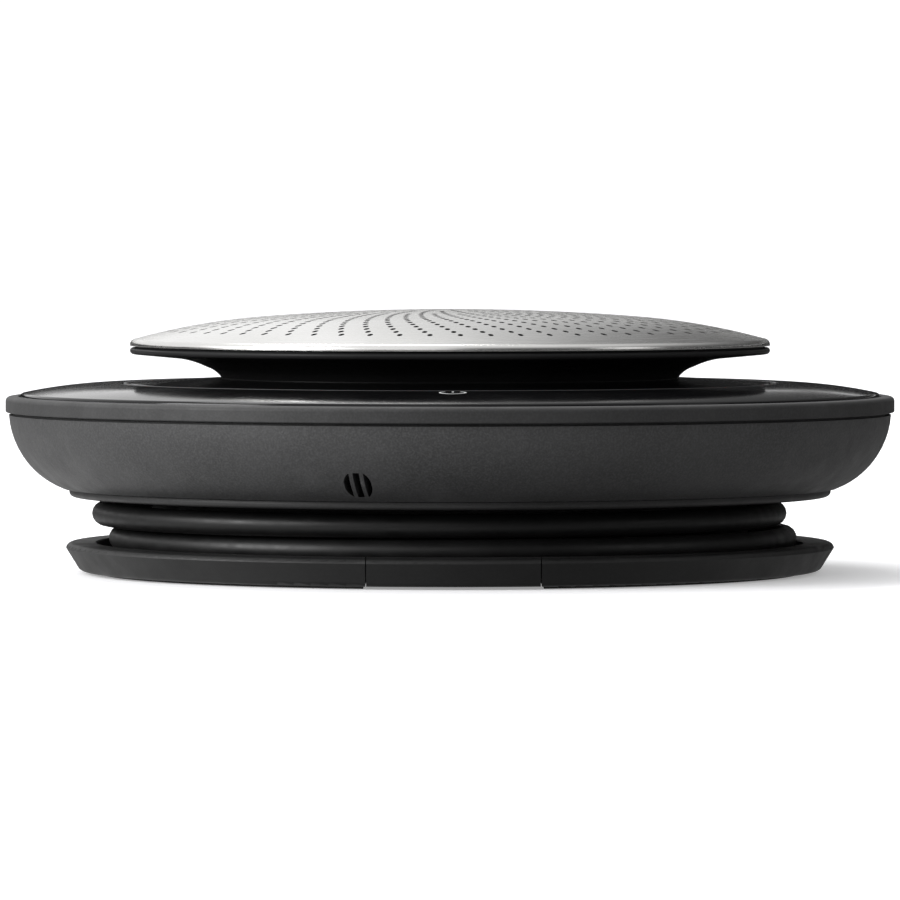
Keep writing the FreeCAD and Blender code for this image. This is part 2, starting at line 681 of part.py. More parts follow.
head_outline = [
    (dim.neck_r - dim.neck_wall, dim.neck_foot_z),
    (dim.neck_r, dim.neck_foot_z),
    (dim.neck_r, dim.flare_z, -dim.flare_tight_arc),
    (dim.flare_mid_r, dim.flare_mid_z, -dim.flare_wide_arc),
    (dim.flare_out_r, dim.flare_out_z),
    (dim.dome_r - dim.flange_low_round, dim.flange_low_z, dim.flange_low_round),
    (dim.dome_r, dim.flange_low_z + dim.flange_low_round),
    (dim.dome_r, dim.flange_top_z - dim.flange_round, dim.flange_round),
    (dim.dome_r - dim.flange_round, dim.flange_top_z),
    (dim.lip_out_r, dim.flange_top_z),
    (dim.lip_out_r, dim.lip_top_z),
    (dim.lip_in_r, dim.lip_top_z),
    (dim.lip_in_r, dim.lip_foot_z),
    (dim.flare_out_r, dim.bowl_floor_z),
    (dim.seat_r, dim.bowl_floor_z),
    (dim.seat_r, dim.seat_z),
    (dim.seat_in_r, dim.seat_z),
    (dim.seat_in_r, dim.ledge_low_z),
    (dim.neck_r - dim.neck_wall, dim.ledge_root_z),
]
head_housing = revolve(new_body("head_housing"), head_outline)
driver_angles = [45.0, 135.0, 225.0, 315.0]
pilot_sketch = new_sketch(head_housing, "XY_Plane", dim.seat_z)
for degrees in driver_angles:
    x, y = round_place(dim.driver_at, degrees)
    draw_circle(pilot_sketch, x, y, dim.small_screw_r)
pocket(head_housing, pilot_sketch, dim.pilot_deep, False)

# Loudspeaker driver

driver_basket = revolve(
    new_body("driver_basket"),
    [
        (dim.basket_hole_r, dim.basket_low_z),
        (dim.basket_low_r, dim.basket_low_z),
        (dim.basket_drop_r, dim.basket_knee_z),
        (dim.basket_drop_r, dim.seat_z),
        (dim.basket_r, dim.seat_z),
        (dim.basket_r, dim.basket_top_z),
        (dim.basket_open_r, dim.basket_top_z),
        (dim.basket_open_r, dim.seat_z + dim.basket_ledge),
        (dim.basket_drop_r - dim.basket_shell, dim.seat_z + dim.basket_ledge),
        (dim.basket_drop_r - dim.basket_shell, dim.basket_in_knee_z),
        (dim.wall_low_r, dim.spider_seat_z),
        (dim.spider_seat_r, dim.spider_seat_z),
        (dim.spider_seat_r, dim.basket_low_z + dim.basket_shell),
        (dim.basket_hole_r, dim.basket_low_z + dim.basket_shell),
    ],
)
window_sketch = new_sketch(driver_basket, "XY_Plane", dim.basket_top_z)
half_window = dim.window_wide / 2
draw_box(window_sketch, dim.window_in_r, dim.window_out_r, -half_window, half_window)
window = pocket(driver_basket, window_sketch, dim.basket_top_z - dim.basket_low_z, False)
repeat_round(driver_basket, window, 6)
flange_holes = new_sketch(driver_basket, "XY_Plane", dim.basket_top_z)
for degrees in driver_angles:
    x, y = round_place(dim.driver_at, degrees)
    draw_circle(flange_holes, x, y, dim.small_screw_r + dim.hole_play)
pocket(driver_basket, flange_holes, dim.basket_top_z - dim.seat_z, False)

yoke_top = dim.yoke_low_z + dim.yoke_plate
magnet_top = yoke_top + dim.magnet_tall
yoke = revolve(
    new_body("yoke"),
    [
        (0, dim.yoke_low_z),
        (dim.yoke_r - dim.soft_break, dim.yoke_low_z),
        (dim.yoke_r, dim.yoke_low_z + dim.soft_break),
        (dim.yoke_r, yoke_top),
        (dim.pole_r, yoke_top),
        (dim.pole_r, dim.pole_top_z - dim.soft_break),
        (dim.pole_r - dim.soft_break, dim.pole_top_z),
        (0, dim.pole_top_z),
    ],
)


def washer(label, inner_r, outer_r, low_z, top_z):
    """A flat ring."""
    outline = [(inner_r, low_z), (outer_r, low_z), (outer_r, top_z), (inner_r, top_z)]
    return revolve(new_body(label), outline)


magnet = washer("magnet", dim.magnet_in_r, dim.magnet_r, yoke_top, magnet_top)
top_plate = washer("top_plate", dim.plate_in_r, dim.plate_r, magnet_top, dim.basket_low_z)
voice_coil = washer("voice_coil", dim.coil_in_r, dim.coil_out_r, dim.coil_low_z, dim.coil_top_z)

cone_neck_r = dim.coil_out_r
cone = revolve(
    new_body("cone"),
    [
        (cone_neck_r, dim.cone_low_z),
        (cone_neck_r + dim.cone_sheet, dim.cone_low_z),
        (dim.cone_low_edge_r, dim.cone_top_z - dim.cone_sheet),
        (dim.cone_r, dim.cone_top_z - dim.cone_sheet),
        (dim.cone_r, dim.cone_top_z),
        (dim.cone_top_edge_r, dim.cone_top_z),
        (cone_neck_r, dim.cone_neck_z),
    ],
)
cap_arc = sphere_radius(dim.cap_r, dim.cap_rise)
cap_top = dim.cap_low_z + dim.cap_rise
dust_cap = revolve(
    new_body("dust_cap"),
    [
        (0, cap_top, -cap_arc),
        (dim.cap_r, dim.cap_low_z),
        (dim.cap_r, dim.cap_low_z + dim.cap_sheet, cap_arc),
        (0, cap_top + dim.cap_sheet),
    ],
)


SPIDER_ROLLS = 7


def spider_outline():
    """A corrugated ring: rolls of alternating arcs between the coil and its seat."""
    low_z = dim.spider_seat_z
    start_r = cone_neck_r
    lower = []
    upper = []
    for roll in range(SPIDER_ROLLS):
        bend = dim.spider_arc if roll % 2 else -dim.spider_arc
        lower.append((start_r + dim.spider_roll * roll, low_z, bend))
        upper.append((start_r + dim.spider_roll * (roll + 1), low_z + dim.spider_sheet, -bend))
    lower.append((start_r + dim.spider_roll * SPIDER_ROLLS, low_z))
    lower.append((dim.spider_r, low_z))
    lower.append((dim.spider_r, low_z + dim.spider_sheet))
    upper.reverse()
    return lower + upper + [(start_r, low_z + dim.spider_sheet)]


spider = revolve(new_body("spider"), spider_outline())

roll_out_r = dim.roll_in_r + dim.roll_r * 2
surround_low = dim.basket_top_z
surround_top = surround_low + dim.surround_sheet
surround = revolve(
    new_body("surround"),
    [
        (dim.surround_in_r, surround_low),
        (dim.roll_in_r, surround_low, -dim.roll_r),
        (roll_out_r, surround_low),
        (dim.surround_r, surround_low),
        (dim.surround_r, surround_top),
        (roll_out_r + dim.surround_sheet, surround_top, dim.roll_r + dim.surround_sheet),
        (dim.roll_in_r - dim.surround_sheet, surround_top),
        (dim.surround_in_r, surround_top),
    ],
)
gasket_low = surround_top
driver_gasket = washer(
    "driver_gasket", dim.gasket_in_r, dim.surround_r, gasket_low, gasket_low + dim.gasket_thick
)

for number, degrees in enumerate(driver_angles, start=1):
    label = "driver_screw_%d" % number
    made = screw(label, dim.small_head_r, dim.small_head, dim.small_screw_r, dim.small_long)
    x, y = round_place(dim.driver_at, degrees)
    flipped = FreeCAD.Rotation(FreeCAD.Vector(1, 0, 0), 180)
    made.Placement = FreeCAD.Placement(FreeCAD.Vector(), flipped)
    place(made, x, y, dim.basket_top_z + dim.small_head)

# Touch ring, light ring, deck and band

touch_panel = revolve(
    new_body("touch_panel"),
    [
        (dim.panel_in_r, dim.panel_in_z - dim.panel_thick),
        (dim.panel_r, dim.panel_edge_z - dim.panel_thick),
        (dim.panel_r, dim.panel_edge_z, dim.panel_round),
        (dim.panel_r - dim.panel_round, dim.panel_edge_z + dim.panel_round, dim.panel_arc),
        (dim.panel_in_r + dim.edge_break, dim.panel_in_z),
        (dim.panel_in_r, dim.panel_in_z - dim.edge_break),
    ],
)
light_ring = revolve(
    new_body("light_ring"),
    [
        (dim.light_in_r, dim.light_low_z),
        (dim.light_out_r, dim.light_low_z),
        (dim.light_out_r, dim.light_top_z - dim.edge_break),
        (dim.light_out_r - dim.edge_break, dim.light_top_z),
        (dim.light_in_r + dim.edge_break, dim.light_top_z),
        (dim.light_in_r, dim.light_top_z - dim.edge_break),
    ],
)
inner_trim = revolve(
    new_body("inner_trim"),
    [
        (dim.trim_in_r, dim.trim_in_z - dim.trim_thick),
        (dim.trim_r, dim.trim_out_z - dim.trim_thick),
        (dim.trim_r, dim.trim_out_z - dim.edge_break),
        (dim.trim_r - dim.edge_break, dim.trim_out_z),
        (dim.trim_in_r + dim.soft_break, dim.trim_in_z),
        (dim.trim_in_r, dim.trim_in_z - dim.soft_break),
    ],
)
board_top = dim.deck_top_z + dim.board_thick
touch_board = washer("touch_board", dim.board_in_r, dim.board_r, dim.deck_top_z, board_top)
light_mid_r = (dim.light_in_r + dim.light_out_r) / 2
for number, degrees in enumerate((30.0, 120.0, 210.0, 300.0), start=1):
    label = "status_led_%d" % number
    x, y = round_place(light_mid_r, degrees)
    half = dim.led_wide / 2
    made = box(label, x - half, x + half, y - half, y + half, board_top, board_top + dim.led_tall)
    made.Label = label

top_deck = revolve(
    new_body("top_deck"),
    [
        (dim.deck_in_r, dim.deck_low_z),
        (dim.deck_r, dim.deck_low_z),
        (dim.deck_r, dim.deck_rim_z),
        (dim.deck_rim_in_r, dim.deck_rim_z),
        (dim.deck_rim_in_r, dim.deck_top_z),
        (dim.deck_in_r, dim.deck_top_z),
    ],
)
case_angles = [45.0, 135.0, 225.0, 315.0]
post_sketch = new_sketch(top_deck, "XY_Plane", dim.post_low_z)
for degrees in case_angles:
    x, y = round_place(dim.case_at, degrees)
    draw_circle(post_sketch, x, y, dim.post_r)
pad(top_deck, post_sketch, dim.deck_low_z - dim.post_low_z)
post_holes = new_sketch(top_deck, "XY_Plane", dim.post_low_z)
for degrees in case_angles:
    x, y = round_place(dim.case_at, degrees)
    draw_circle(post_holes, x, y, dim.screw_r)
pocket(top_deck, post_holes, dim.screw_long, True)

band = revolve(
    new_body("band"),
    [
        (dim.band_foot_in_r, dim.bowl_top_z),
        (dim.groove_r, dim.bowl_top_z),
        (dim.groove_r, dim.band_low_z),
        (dim.band_r - dim.edge_break, dim.band_low_z),
        (dim.band_r, dim.band_low_z + dim.edge_break),
        (dim.band_r, dim.band_top_z - dim.band_round, dim.band_round),
        (dim.band_r - dim.band_round, dim.band_top_z),
        (dim.band_in_r, dim.band_in_top_z),
        (dim.band_in_r, dim.band_step_z),
        (dim.band_foot_in_r, dim.band_foot_top_z),
    ],
)

# Bowl with its microphone port

inner_arc = dim.bowl_arc - dim.bowl_wall
bowl_shell = revolve(
    new_body("bowl_shell"),
    [
        (dim.bowl_mouth_r, dim.bowl_low_z),
        (dim.bowl_low_r, dim.bowl_low_z, dim.bowl_arc),
        (dim.bowl_top_r, dim.bowl_top_z),
        (dim.bowl_top_r - dim.bowl_wall, dim.bowl_top_z, -inner_arc),
        (dim.bowl_in_low_r, dim.bowl_in_low_z),
        (dim.bowl_mouth_r, dim.bowl_in_low_z),
    ],
)
slot_boxes = []
for number in (-1, 0, 1):
    middle = dim.port_pitch * number
    half = dim.port_slot / 2
    reach = dim.port_tall / 2
    slot = box("slot_%d" % (number + 2), middle - half, middle + half, -reach, reach, 0, dim.port_cut)
    slot_boxes.append(slot)
slot_bars = joined("slot_bars", slot_boxes)
slot_round = cylinder("slot_round", dim.port_r, dim.port_cut)
port_cutter = boolean("Common", "port_cutter", slot_round, slot_bars)
port_angle = math.radians(270.0 + dim.port_turn.value)
port_out = FreeCAD.Vector(math.cos(port_angle), math.sin(port_angle), 0)
port_side = port_out.cross(FreeCAD.Vector(0, 0, -1))
port_turned = FreeCAD.Rotation(port_side, FreeCAD.Vector(0, 0, 1), port_out, "ZXY")
port_start = port_out * dim.port_in_r.value + FreeCAD.Vector(0, 0, dim.port_z.value)
port_cutter.Placement = FreeCAD.Placement(port_start, port_turned)
bowl = boolean("Cut", "bowl", bowl_shell, port_cutter)

# The microphone boot lies against the inside of the bowl, square to its wall.
arc_chord = FreeCAD.Vector(
    dim.bowl_top_r.value - dim.bowl_low_r.value, dim.bowl_top_z.value - dim.bowl_low_z.value, 0
)
arc_middle = arc_chord * 0.5 + FreeCAD.Vector(dim.bowl_low_r.value, dim.bowl_low_z.value, 0)
arc_rise = math.sqrt(dim.bowl_arc.value ** 2 - (arc_chord.Length / 2) ** 2)
arc_centre = arc_middle + FreeCAD.Vector(-arc_chord.y, arc_chord.x, 0).normalize() * arc_rise
boot_slope = math.radians(dim.boot_slope.value)
boot_out = port_out * math.cos(boot_slope) + FreeCAD.Vector(0, 0, math.sin(boot_slope))


def inside_wall(distance):
    """A point at a distance from the bowl's arc centre, behind the port."""
    return port_out * arc_centre.x + FreeCAD.Vector(0, 0, arc_centre.y) + boot_out * distance


boot_turn = FreeCAD.Rotation(FreeCAD.Vector(0, 0, 1), boot_out)
boot_face = inner_arc.value - dim.boot_gap.value
mic_boot = cylinder("mic_boot", dim.boot_r, dim.boot_deep)
mic_boot.Placement = FreeCAD.Placement(inside_wall(boot_face - dim.boot_deep.value), boot_turn)
capsule_base = boot_face - dim.boot_deep.value - dim.capsule_deep.value
mic_capsule = cylinder("mic_capsule", dim.capsule_r, dim.capsule_deep)
mic_capsule.Placement = FreeCAD.Placement(inside_wall(capsule_base), boot_turn)

# Boards and battery

main_board = washer(
    "main_board", dim.main_in_r, dim.main_r, dim.main_low_z, dim.main_low_z + dim.main_thick
)
battery = new_body("battery")
cell_sketch = new_sketch(battery, "XY_Plane", dim.cell_z)
draw_box(
    cell_sketch,
    -dim.cell_long / 2,
    dim.cell_long / 2,
    dim.cell_y - dim.cell_wide / 2,
    dim.cell_y + dim.cell_wide / 2,
)
pad(battery, cell_sketch, dim.cell_tall)
round_edges(battery, dim.cell_round, is_upright)
shield_can = new_body("shield_can")
can_sketch = new_sketch(shield_can, "XY_Plane", dim.main_low_z + dim.main_thick)
draw_box(
    can_sketch,
    -dim.can_long / 2,
    dim.can_long / 2,
    dim.can_y - dim.can_wide / 2,
    dim.can_y + dim.can_wide / 2,
)
pad(shield_can, can_sketch, dim.can_tall)
round_edges(shield_can, dim.cell_round / 2, is_upright)

# Bottom cover, hub and ballast

bottom_cover = revolve(
    new_body("bottom_cover"),
    [
        (0, dim.cover_low_z),
        (dim.cover_r - dim.cover_round, dim.cover_low_z, dim.cover_round),
        (dim.cover_r, dim.cover_low_z + dim.cover_round),
        (dim.cover_r, dim.cover_edge_z),
        (dim.cover_lip_r, dim.cover_edge_z),
        (dim.cover_lip_r, dim.cover_lip_z),
        (dim.cover_lip_in_r, dim.cover_lip_z),
        (dim.cover_lip_in_r, dim.cover_top_z),
        (0, dim.cover_top_z),
    ],
)
rest_sketch = new_sketch(bottom_cover, "XY_Plane", dim.cover_top_z)
for degrees in (0.0, 90.0, 180.0, 270.0):
    x, y = round_place(dim.rest_at, degrees)
    draw_circle(rest_sketch, x, y, dim.rest_r)
pad(bottom_cover, rest_sketch, dim.main_low_z - dim.cover_top_z)
base_screw_spots = [(-33.0, -17.0), (33.0, -17.0), (-36.5, 14.0), (36.5, 14.0)]
boss_sketch = new_sketch(bottom_cover, "XY_Plane", dim.core_top_z)
for x, y in base_screw_spots:
    draw_circle(boss_sketch, x, y, dim.post_r)
pad(bottom_cover, boss_sketch, dim.cover_low_z - dim.core_top_z)
boss_holes = new_sketch(bottom_cover, "XY_Plane", dim.core_top_z)
for x, y in base_screw_spots:
    draw_circle(boss_holes, x, y, dim.screw_r)
pocket(bottom_cover, boss_holes, dim.boss_hole_deep, True)
case_holes = new_sketch(bottom_cover, "XY_Plane", dim.cover_low_z)
for degrees in case_angles:
    x, y = round_place(dim.case_at, degrees)
    draw_circle(case_holes, x, y, dim.screw_r + dim.hole_play)
pocket(bottom_cover, case_holes, dim.cover_top_z - dim.cover_low_z, True)
case_sinks = new_sketch(bottom_cover, "XY_Plane", dim.cover_low_z)
for degrees in case_angles:
    x, y = round_place(dim.case_at, degrees)
    draw_circle(case_sinks, x, y, dim.screw_head_r + dim.hole_play)
pocket(bottom_cover, case_sinks, dim.screw_head + dim.case_sunk, True)

hub_ring = washer("hub_ring", dim.hub_in_r, dim.hub_r, dim.trough_z, dim.cover_low_z)
ballast = washer(
    "ballast", dim.ballast_in_r, dim.ballast_r, dim.ballast_low_z, dim.ballast_low_z + dim.ballast_thick
)

for number, degrees in enumerate(case_angles, start=1):
    label = "case_screw_%d" % number
    made = screw(label, dim.screw_head_r, dim.screw_head, dim.screw_r, dim.screw_long)
    x, y = round_place(dim.case_at, degrees)
    place(made, x, y, dim.cover_low_z + dim.case_sunk)

# Base with its trough, the well for the stand and the notch for the plug

rim_corners = [
    (dim.base_foot_r, dim.base_low_z, dim.base_foot_round),
    (dim.base_slope_r, dim.base_slope_z),
    (dim.base_r, dim.base_wide_z, dim.base_rim_round),
    (dim.base_ring_r, dim.base_top_z),
]
base_blank = revolve(
    new_body("base_blank"),
    [
        (0, dim.base_low_z),
        *rim_corners,
        (dim.base_ring_in_r + dim.edge_break, dim.base_top_z),
        (dim.base_ring_in_r, dim.base_top_z - dim.edge_break),
        (dim.trough_r, dim.trough_z),
        (dim.core_r, dim.trough_z),
        (dim.core_r, dim.core_top_z),
        (0, dim.core_top_z),
    ],
)
pad_groove = new_sketch(base_blank, "XY_Plane", dim.base_low_z)
draw_circle(pad_groove, 0, 0, dim.pad_out_r)
draw_circle(pad_groove, 0, 0, dim.pad_in_r)
pocket(base_blank, pad_groove, dim.pad_sunk, True)

well_half = dim.stand_wide / 2 + dim.well_gap
well_front = dim.hinge_y - dim.barrel_r - dim.well_gap
well_back_r = dim.stand_r + dim.grip_deep + dim.well_gap
well_side_y = well_back_r * round(math.sqrt(1 - (well_half.value / well_back_r.value) ** 2), 5)
well_sketch = new_sketch(base_blank, "XY_Plane", dim.base_low_z)
draw_outline(
    well_sketch,
    [
        (-well_half, well_front),
        (well_half, well_front),
        (well_half, well_side_y, well_back_r),
        (-well_half, well_side_y),
    ],
)
pocket(base_blank, well_sketch, dim.well_top_z - dim.base_low_z, True)

screw_holes = new_sketch(base_blank, "XY_Plane", dim.base_low_z)
for x, y in base_screw_spots:
    draw_circle(screw_holes, x, y, dim.screw_r + dim.hole_play)
pocket(base_blank, screw_holes, dim.core_top_z - dim.base_low_z, True)
screw_sinks = new_sketch(base_blank, "XY_Plane", dim.base_low_z)
for x, y in base_screw_spots:
    draw_circle(screw_sinks, x, y, dim.screw_head_r + dim.hole_play)
pocket(base_blank, screw_sinks, dim.screw_head + dim.base_sunk, True)

shell_mid_x = (dim.plug_right - dim.plug_left) / 2
shell_left = shell_mid_x - dim.shell_wide / 2
shell_right = shell_mid_x + dim.shell_wide / 2
shell_end_y = -(dim.plug_in_y - dim.shell_long)
play = dim.pocket_play
plug_notch = box(
    "plug_notch",
    -dim.plug_left - dim.plug_gap,
    dim.plug_right + dim.plug_gap,
    -dim.cut_reach,
    -dim.plug_in_y + dim.plug_gap,
    0,
    dim.core_top_z + dim.cut_over,
)
shell_pocket = box(
    "shell_pocket",
    shell_left - play,
    shell_right + play,
    -dim.plug_in_y,
    shell_end_y + dim.plug_gap,
    dim.shell_low_z - play,
    dim.shell_low_z + dim.shell_tall + play,
)
bore_long = dim.pin_reach + dim.pin_end_gap + dim.cut_over
bore_left = cylinder("bore_left", dim.pin_r + dim.pin_play, bore_long)
bore_right = cylinder("bore_right", dim.pin_r + dim.pin_play, bore_long)
along_x = FreeCAD.Rotation(FreeCAD.Vector(0, 1, 0), 90)
bore_starts = (
    (bore_left, -well_half - dim.pin_reach - dim.pin_end_gap),
    (bore_right, well_half - dim.cut_over),
)
for bore, start_x in bore_starts:
    bore.Placement = FreeCAD.Placement(FreeCAD.Vector(), along_x)
    place(bore, start_x, dim.hinge_y, dim.hinge_z)
sleeve_bed = box(
    "sleeve_bed",
    dim.plug_right,
    dim.plug_right + dim.sleeve_long,
    -dim.plug_lead_y - dim.sleeve_r - dim.bed_gap,
    -dim.core_r,
    dim.tail_z - dim.sleeve_r - dim.pin_play,
    dim.tail_z,
)
base_cutters = joined("base_cutters", [plug_notch, shell_pocket, sleeve_bed, bore_left, bore_right])
base_disc = boolean("Cut", "base_disc", base_blank, base_cutters)

sleeve_way = box(
    "sleeve_way",
    dim.plug_right - dim.cut_over,
    dim.plug_right + dim.sleeve_way_long,
    -dim.hub_r - dim.cut_over,
    -dim.sleeve_way_y,
    dim.trough_z - dim.cut_over,
    dim.grip_top_z + dim.bed_gap,
)
hub_notch = box(
    "hub_notch",
    -dim.plug_left - dim.plug_gap,
    dim.plug_right + dim.plug_gap,
    -dim.cut_reach,
    0,
    dim.trough_z - dim.cut_over,
    dim.core_top_z,
)
hub_cutters = joined("hub_cutters", [hub_notch, sleeve_way])
spool_hub = boolean("Cut", "spool_hub", hub_ring, hub_cutters)

foot_ring = washer("foot_ring", dim.pad_in_r, dim.pad_out_r, 0, dim.base_low_z + dim.pad_sunk)
foot_gap = new_sketch(foot_ring, "XY_Plane", 0)
draw_box(
    foot_gap,
    -dim.plug_left - dim.plug_gap - dim.soft_break,
    dim.plug_right + dim.plug_gap + dim.soft_break,
    -dim.cut_reach,
    0,
)
pocket(foot_ring, foot_gap, dim.base_low_z + dim.pad_sunk, True)

for number, (x, y) in enumerate(base_screw_spots, start=1):
    label = "base_screw_%d" % number
    made = screw(label, dim.screw_head_r, dim.screw_head, dim.screw_r, dim.base_screw_long)
    place(made, x, y, dim.base_low_z + dim.base_sunk)

# Kickstand, its pins and its rubber edge

kickstand = new_body("kickstand")
half_stand = dim.stand_wide / 2
stand_side_y = dim.stand_r * round(math.sqrt(1 - (half_stand.value / dim.stand_r.value) ** 2), 5)
leaf_sketch = new_sketch(kickstand, "XY_Plane", dim.stand_low_z)
draw_outline(
    leaf_sketch,
    [
        (-half_stand, dim.hinge_y),
        (half_stand, dim.hinge_y),
        (half_stand, stand_side_y, dim.stand_r),
        (-half_stand, stand_side_y),
    ],
)
pad(kickstand, leaf_sketch, dim.stand_thick)
barrel_sketch = new_sketch(kickstand, "YZ_Plane", -half_stand)
draw_circle(barrel_sketch, dim.hinge_y, dim.hinge_z, dim.barrel_r)
pad(kickstand, barrel_sketch, dim.stand_wide)
hollow_sketch = new_sketch(kickstand, "XY_Plane", dim.stand_low_z + dim.stand_thick)
hollow_half = dim.hollow_wide / 2
hollow_start = dim.hinge_y + dim.hollow_at
draw_box(hollow_sketch, -hollow_half, hollow_half, hollow_start, hollow_start + dim.hollow_long)
pocket(kickstand, hollow_sketch, dim.hollow_deep, False)
pin_deep = dim.pin_long - dim.pin_reach
for lift, forward in ((-half_stand, True), (half_stand, False)):
    pin_sketch = new_sketch(kickstand, "YZ_Plane", lift)
    draw_circle(pin_sketch, dim.hinge_y, dim.hinge_z, dim.pin_r)
    pocket(kickstand, pin_sketch, pin_deep, forward)

pin_starts = (
    ("hinge_pin_left", -half_stand - dim.pin_reach),
    ("hinge_pin_right", half_stand - pin_deep),
)
for label, start_x in pin_starts:
    pin = cylinder(label, dim.pin_r, dim.pin_long)
    pin.Placement = FreeCAD.Placement(FreeCAD.Vector(), along_x)
    place(pin, start_x, dim.hinge_y, dim.hinge_z)
    pin.Label = label

grip_out_r = dim.stand_r + dim.grip_deep
grip_low = dim.stand_low_z + dim.grip_inset
grip_top = dim.stand_low_z + dim.stand_thick - dim.grip_inset
stand_grip = revolve(
    new_body("stand_grip"),
    [
        (dim.stand_r, grip_low),
        (grip_out_r - dim.soft_break, grip_low),
        (grip_out_r, grip_low + dim.soft_break),
        (grip_out_r, grip_top - dim.soft_break),
        (grip_out_r - dim.soft_break, grip_top),
        (dim.stand_r, grip_top),
    ],
    dim.grip_angle,
)
grip_turn = FreeCAD.Rotation(FreeCAD.Vector(0, 0, 1), 90.0 - dim.grip_angle.value / 2)
stand_grip.Placement = FreeCAD.Placement(FreeCAD.Vector(), grip_turn)

# USB plug: its grip completes the rim of the base, its shell sits in the base's core

plug_profile = revolve(
    new_body("plug_profile"),
    [
        (dim.grip_in_r, dim.base_low_z),
        *rim_corners,
        (dim.base_ring_in_r, dim.base_top_z),
        (dim.trough_r, dim.saddle_z),
        (dim.saddle_r, dim.saddle_z),
        (dim.grip_block_r, dim.grip_top_z),
        (dim.grip_in_r, dim.grip_top_z),
    ],
)
plug_slice = box(
    "plug_slice", -dim.plug_left, dim.plug_right, -dim.cut_reach, -dim.plug_in_y, 0, dim.core_top_z
)
plug_grip = boolean("Common", "plug_grip", plug_profile, plug_slice)

shell_outer = box(
    "shell_outer",
    shell_left,
    shell_right,
    -dim.plug_in_y,
    shell_end_y,
    dim.shell_low_z,
    dim.shell_low_z + dim.shell_tall,
)
thin = dim.shell_sheet
shell_inner = box(
    "shell_inner",
    shell_left + thin,
    shell_right - thin,
    -dim.plug_in_y - dim.cut_over,
    shell_end_y + dim.cut_over,
    dim.shell_low_z + thin,
    dim.shell_low_z + dim.shell_tall - thin,
)
window_end_y = shell_end_y - dim.latch_at
window_boxes = []
for number, middle in enumerate((shell_mid_x - dim.latch_off, shell_mid_x + dim.latch_off), start=1):
    window_boxes.append(
        box(
            "shell_window_%d" % number,
            middle - dim.latch_wide / 2,
            middle + dim.latch_wide / 2,
            window_end_y - dim.latch_wide,
            window_end_y,
            0,
            dim.core_top_z,
        )
    )
shell_cutters = joined("shell_cutters", [shell_inner] + window_boxes)
plug_shell = boolean("Cut", "plug_shell", shell_outer, shell_cutters)
tongue_left = shell_mid_x - dim.tongue_wide / 2
tongue_top = dim.shell_low_z + dim.shell_tall - thin
plug_tongue = box(
    "plug_tongue",
    tongue_left,
    tongue_left + dim.tongue_wide,
    -dim.plug_in_y,
    -dim.plug_in_y + dim.tongue_long,
    tongue_top - dim.tongue_tall,
    tongue_top,
)

# USB lead: wound clockwise, seen from above, from its outlet on the hub to the plug

outlet_angle = math.radians(dim.outlet_turn.value)
outlet_side = FreeCAD.Vector(math.cos(outlet_angle), math.sin(outlet_angle), 0)
outlet_way = FreeCAD.Vector(outlet_side.y, -outlet_side.x, 0)


def outlet_point(distance):
    """A point on the straight line that the lead leaves the hub along."""
    foot = outlet_side * dim.outlet_off.value + FreeCAD.Vector(0, 0, dim.upper_z.value)
    return foot + outlet_way * distance


def ease(share):
    """0 to 1 with level ends."""
    share = min(max(share, 0.0), 1.0)
    return share * share * (3 - 2 * share)


# The lead runs inside its corners: this is its radius as a share of the corners' radius.
CORNER_SHARE = 0.9885
TURN_STEP = 18
TURN_START = 72
TURN_END = -774


def turn_point(angle):
    """A corner of the winding: upper turn, lower turn, then the run in the trough."""
    first = ease((dim.first_drop.value - angle) / dim.drop_span.value)
    second = ease((dim.second_drop.value - angle) / dim.drop_span.value)
    upper, lower, tail = [
        FreeCAD.Vector(shift.value, radius.value / CORNER_SHARE, height.value)
        for shift, radius, height in (
            (dim.upper_shift, dim.upper_turn_r, dim.upper_z),
            (dim.lower_shift, dim.lower_turn_r, dim.lower_z),
            (as_size(0), dim.tail_turn_r, dim.tail_z),
        )
    ]
    level = upper + (lower - upper) * first + (tail - lower) * second
    turned = math.radians(angle)
    return FreeCAD.Vector(level.x + level.y * math.cos(turned), level.y * math.sin(turned), level.z)


winding = [turn_point(angle) for angle in range(TURN_START, TURN_END - TURN_STEP, -TURN_STEP)]
plug_root = FreeCAD.Vector(dim.plug_right.value, -dim.plug_lead_y.value, dim.tail_z.value)
plug_way = (winding[-1] - plug_root).normalize()
plug_tip = plug_root + plug_way * dim.sleeve_long.value
lead_corners = [outlet_point(dim.sleeve_long.value), outlet_point(dim.outlet_straight.value)]
lead_corners += winding + [plug_tip]


# Each arc takes this share of the shorter run beside it.
RUN_SHARE = 0.45


def rounded_wire(corners):
    """Straight runs between corners joined by tangent arcs as large as the runs allow."""
    edges = []
    radii = []
    start = corners[0]
    for before, corner, after in zip(corners, corners[1:], corners[2:]):
        back = before - corner
        ahead = after - corner
        half_turn = (math.pi - back.getAngle(ahead)) / 2
        reach = RUN_SHARE * min(back.Length, ahead.Length)
        enter = corner + back.normalize() * reach
        leave = corner + ahead.normalize() * reach
        radius = reach / math.tan(half_turn)
        depth = radius / math.cos(half_turn) - radius
        inward = ((enter + leave) * 0.5 - corner).normalize()
        edges.append(Part.LineSegment(start, enter).toShape())
        edges.append(Part.Arc(enter, corner + inward * depth, leave).toShape())
        radii.append(radius)
        start = leave
    edges.append(Part.LineSegment(start, corners[-1]).toShape())
    return Part.Wire(edges), radii


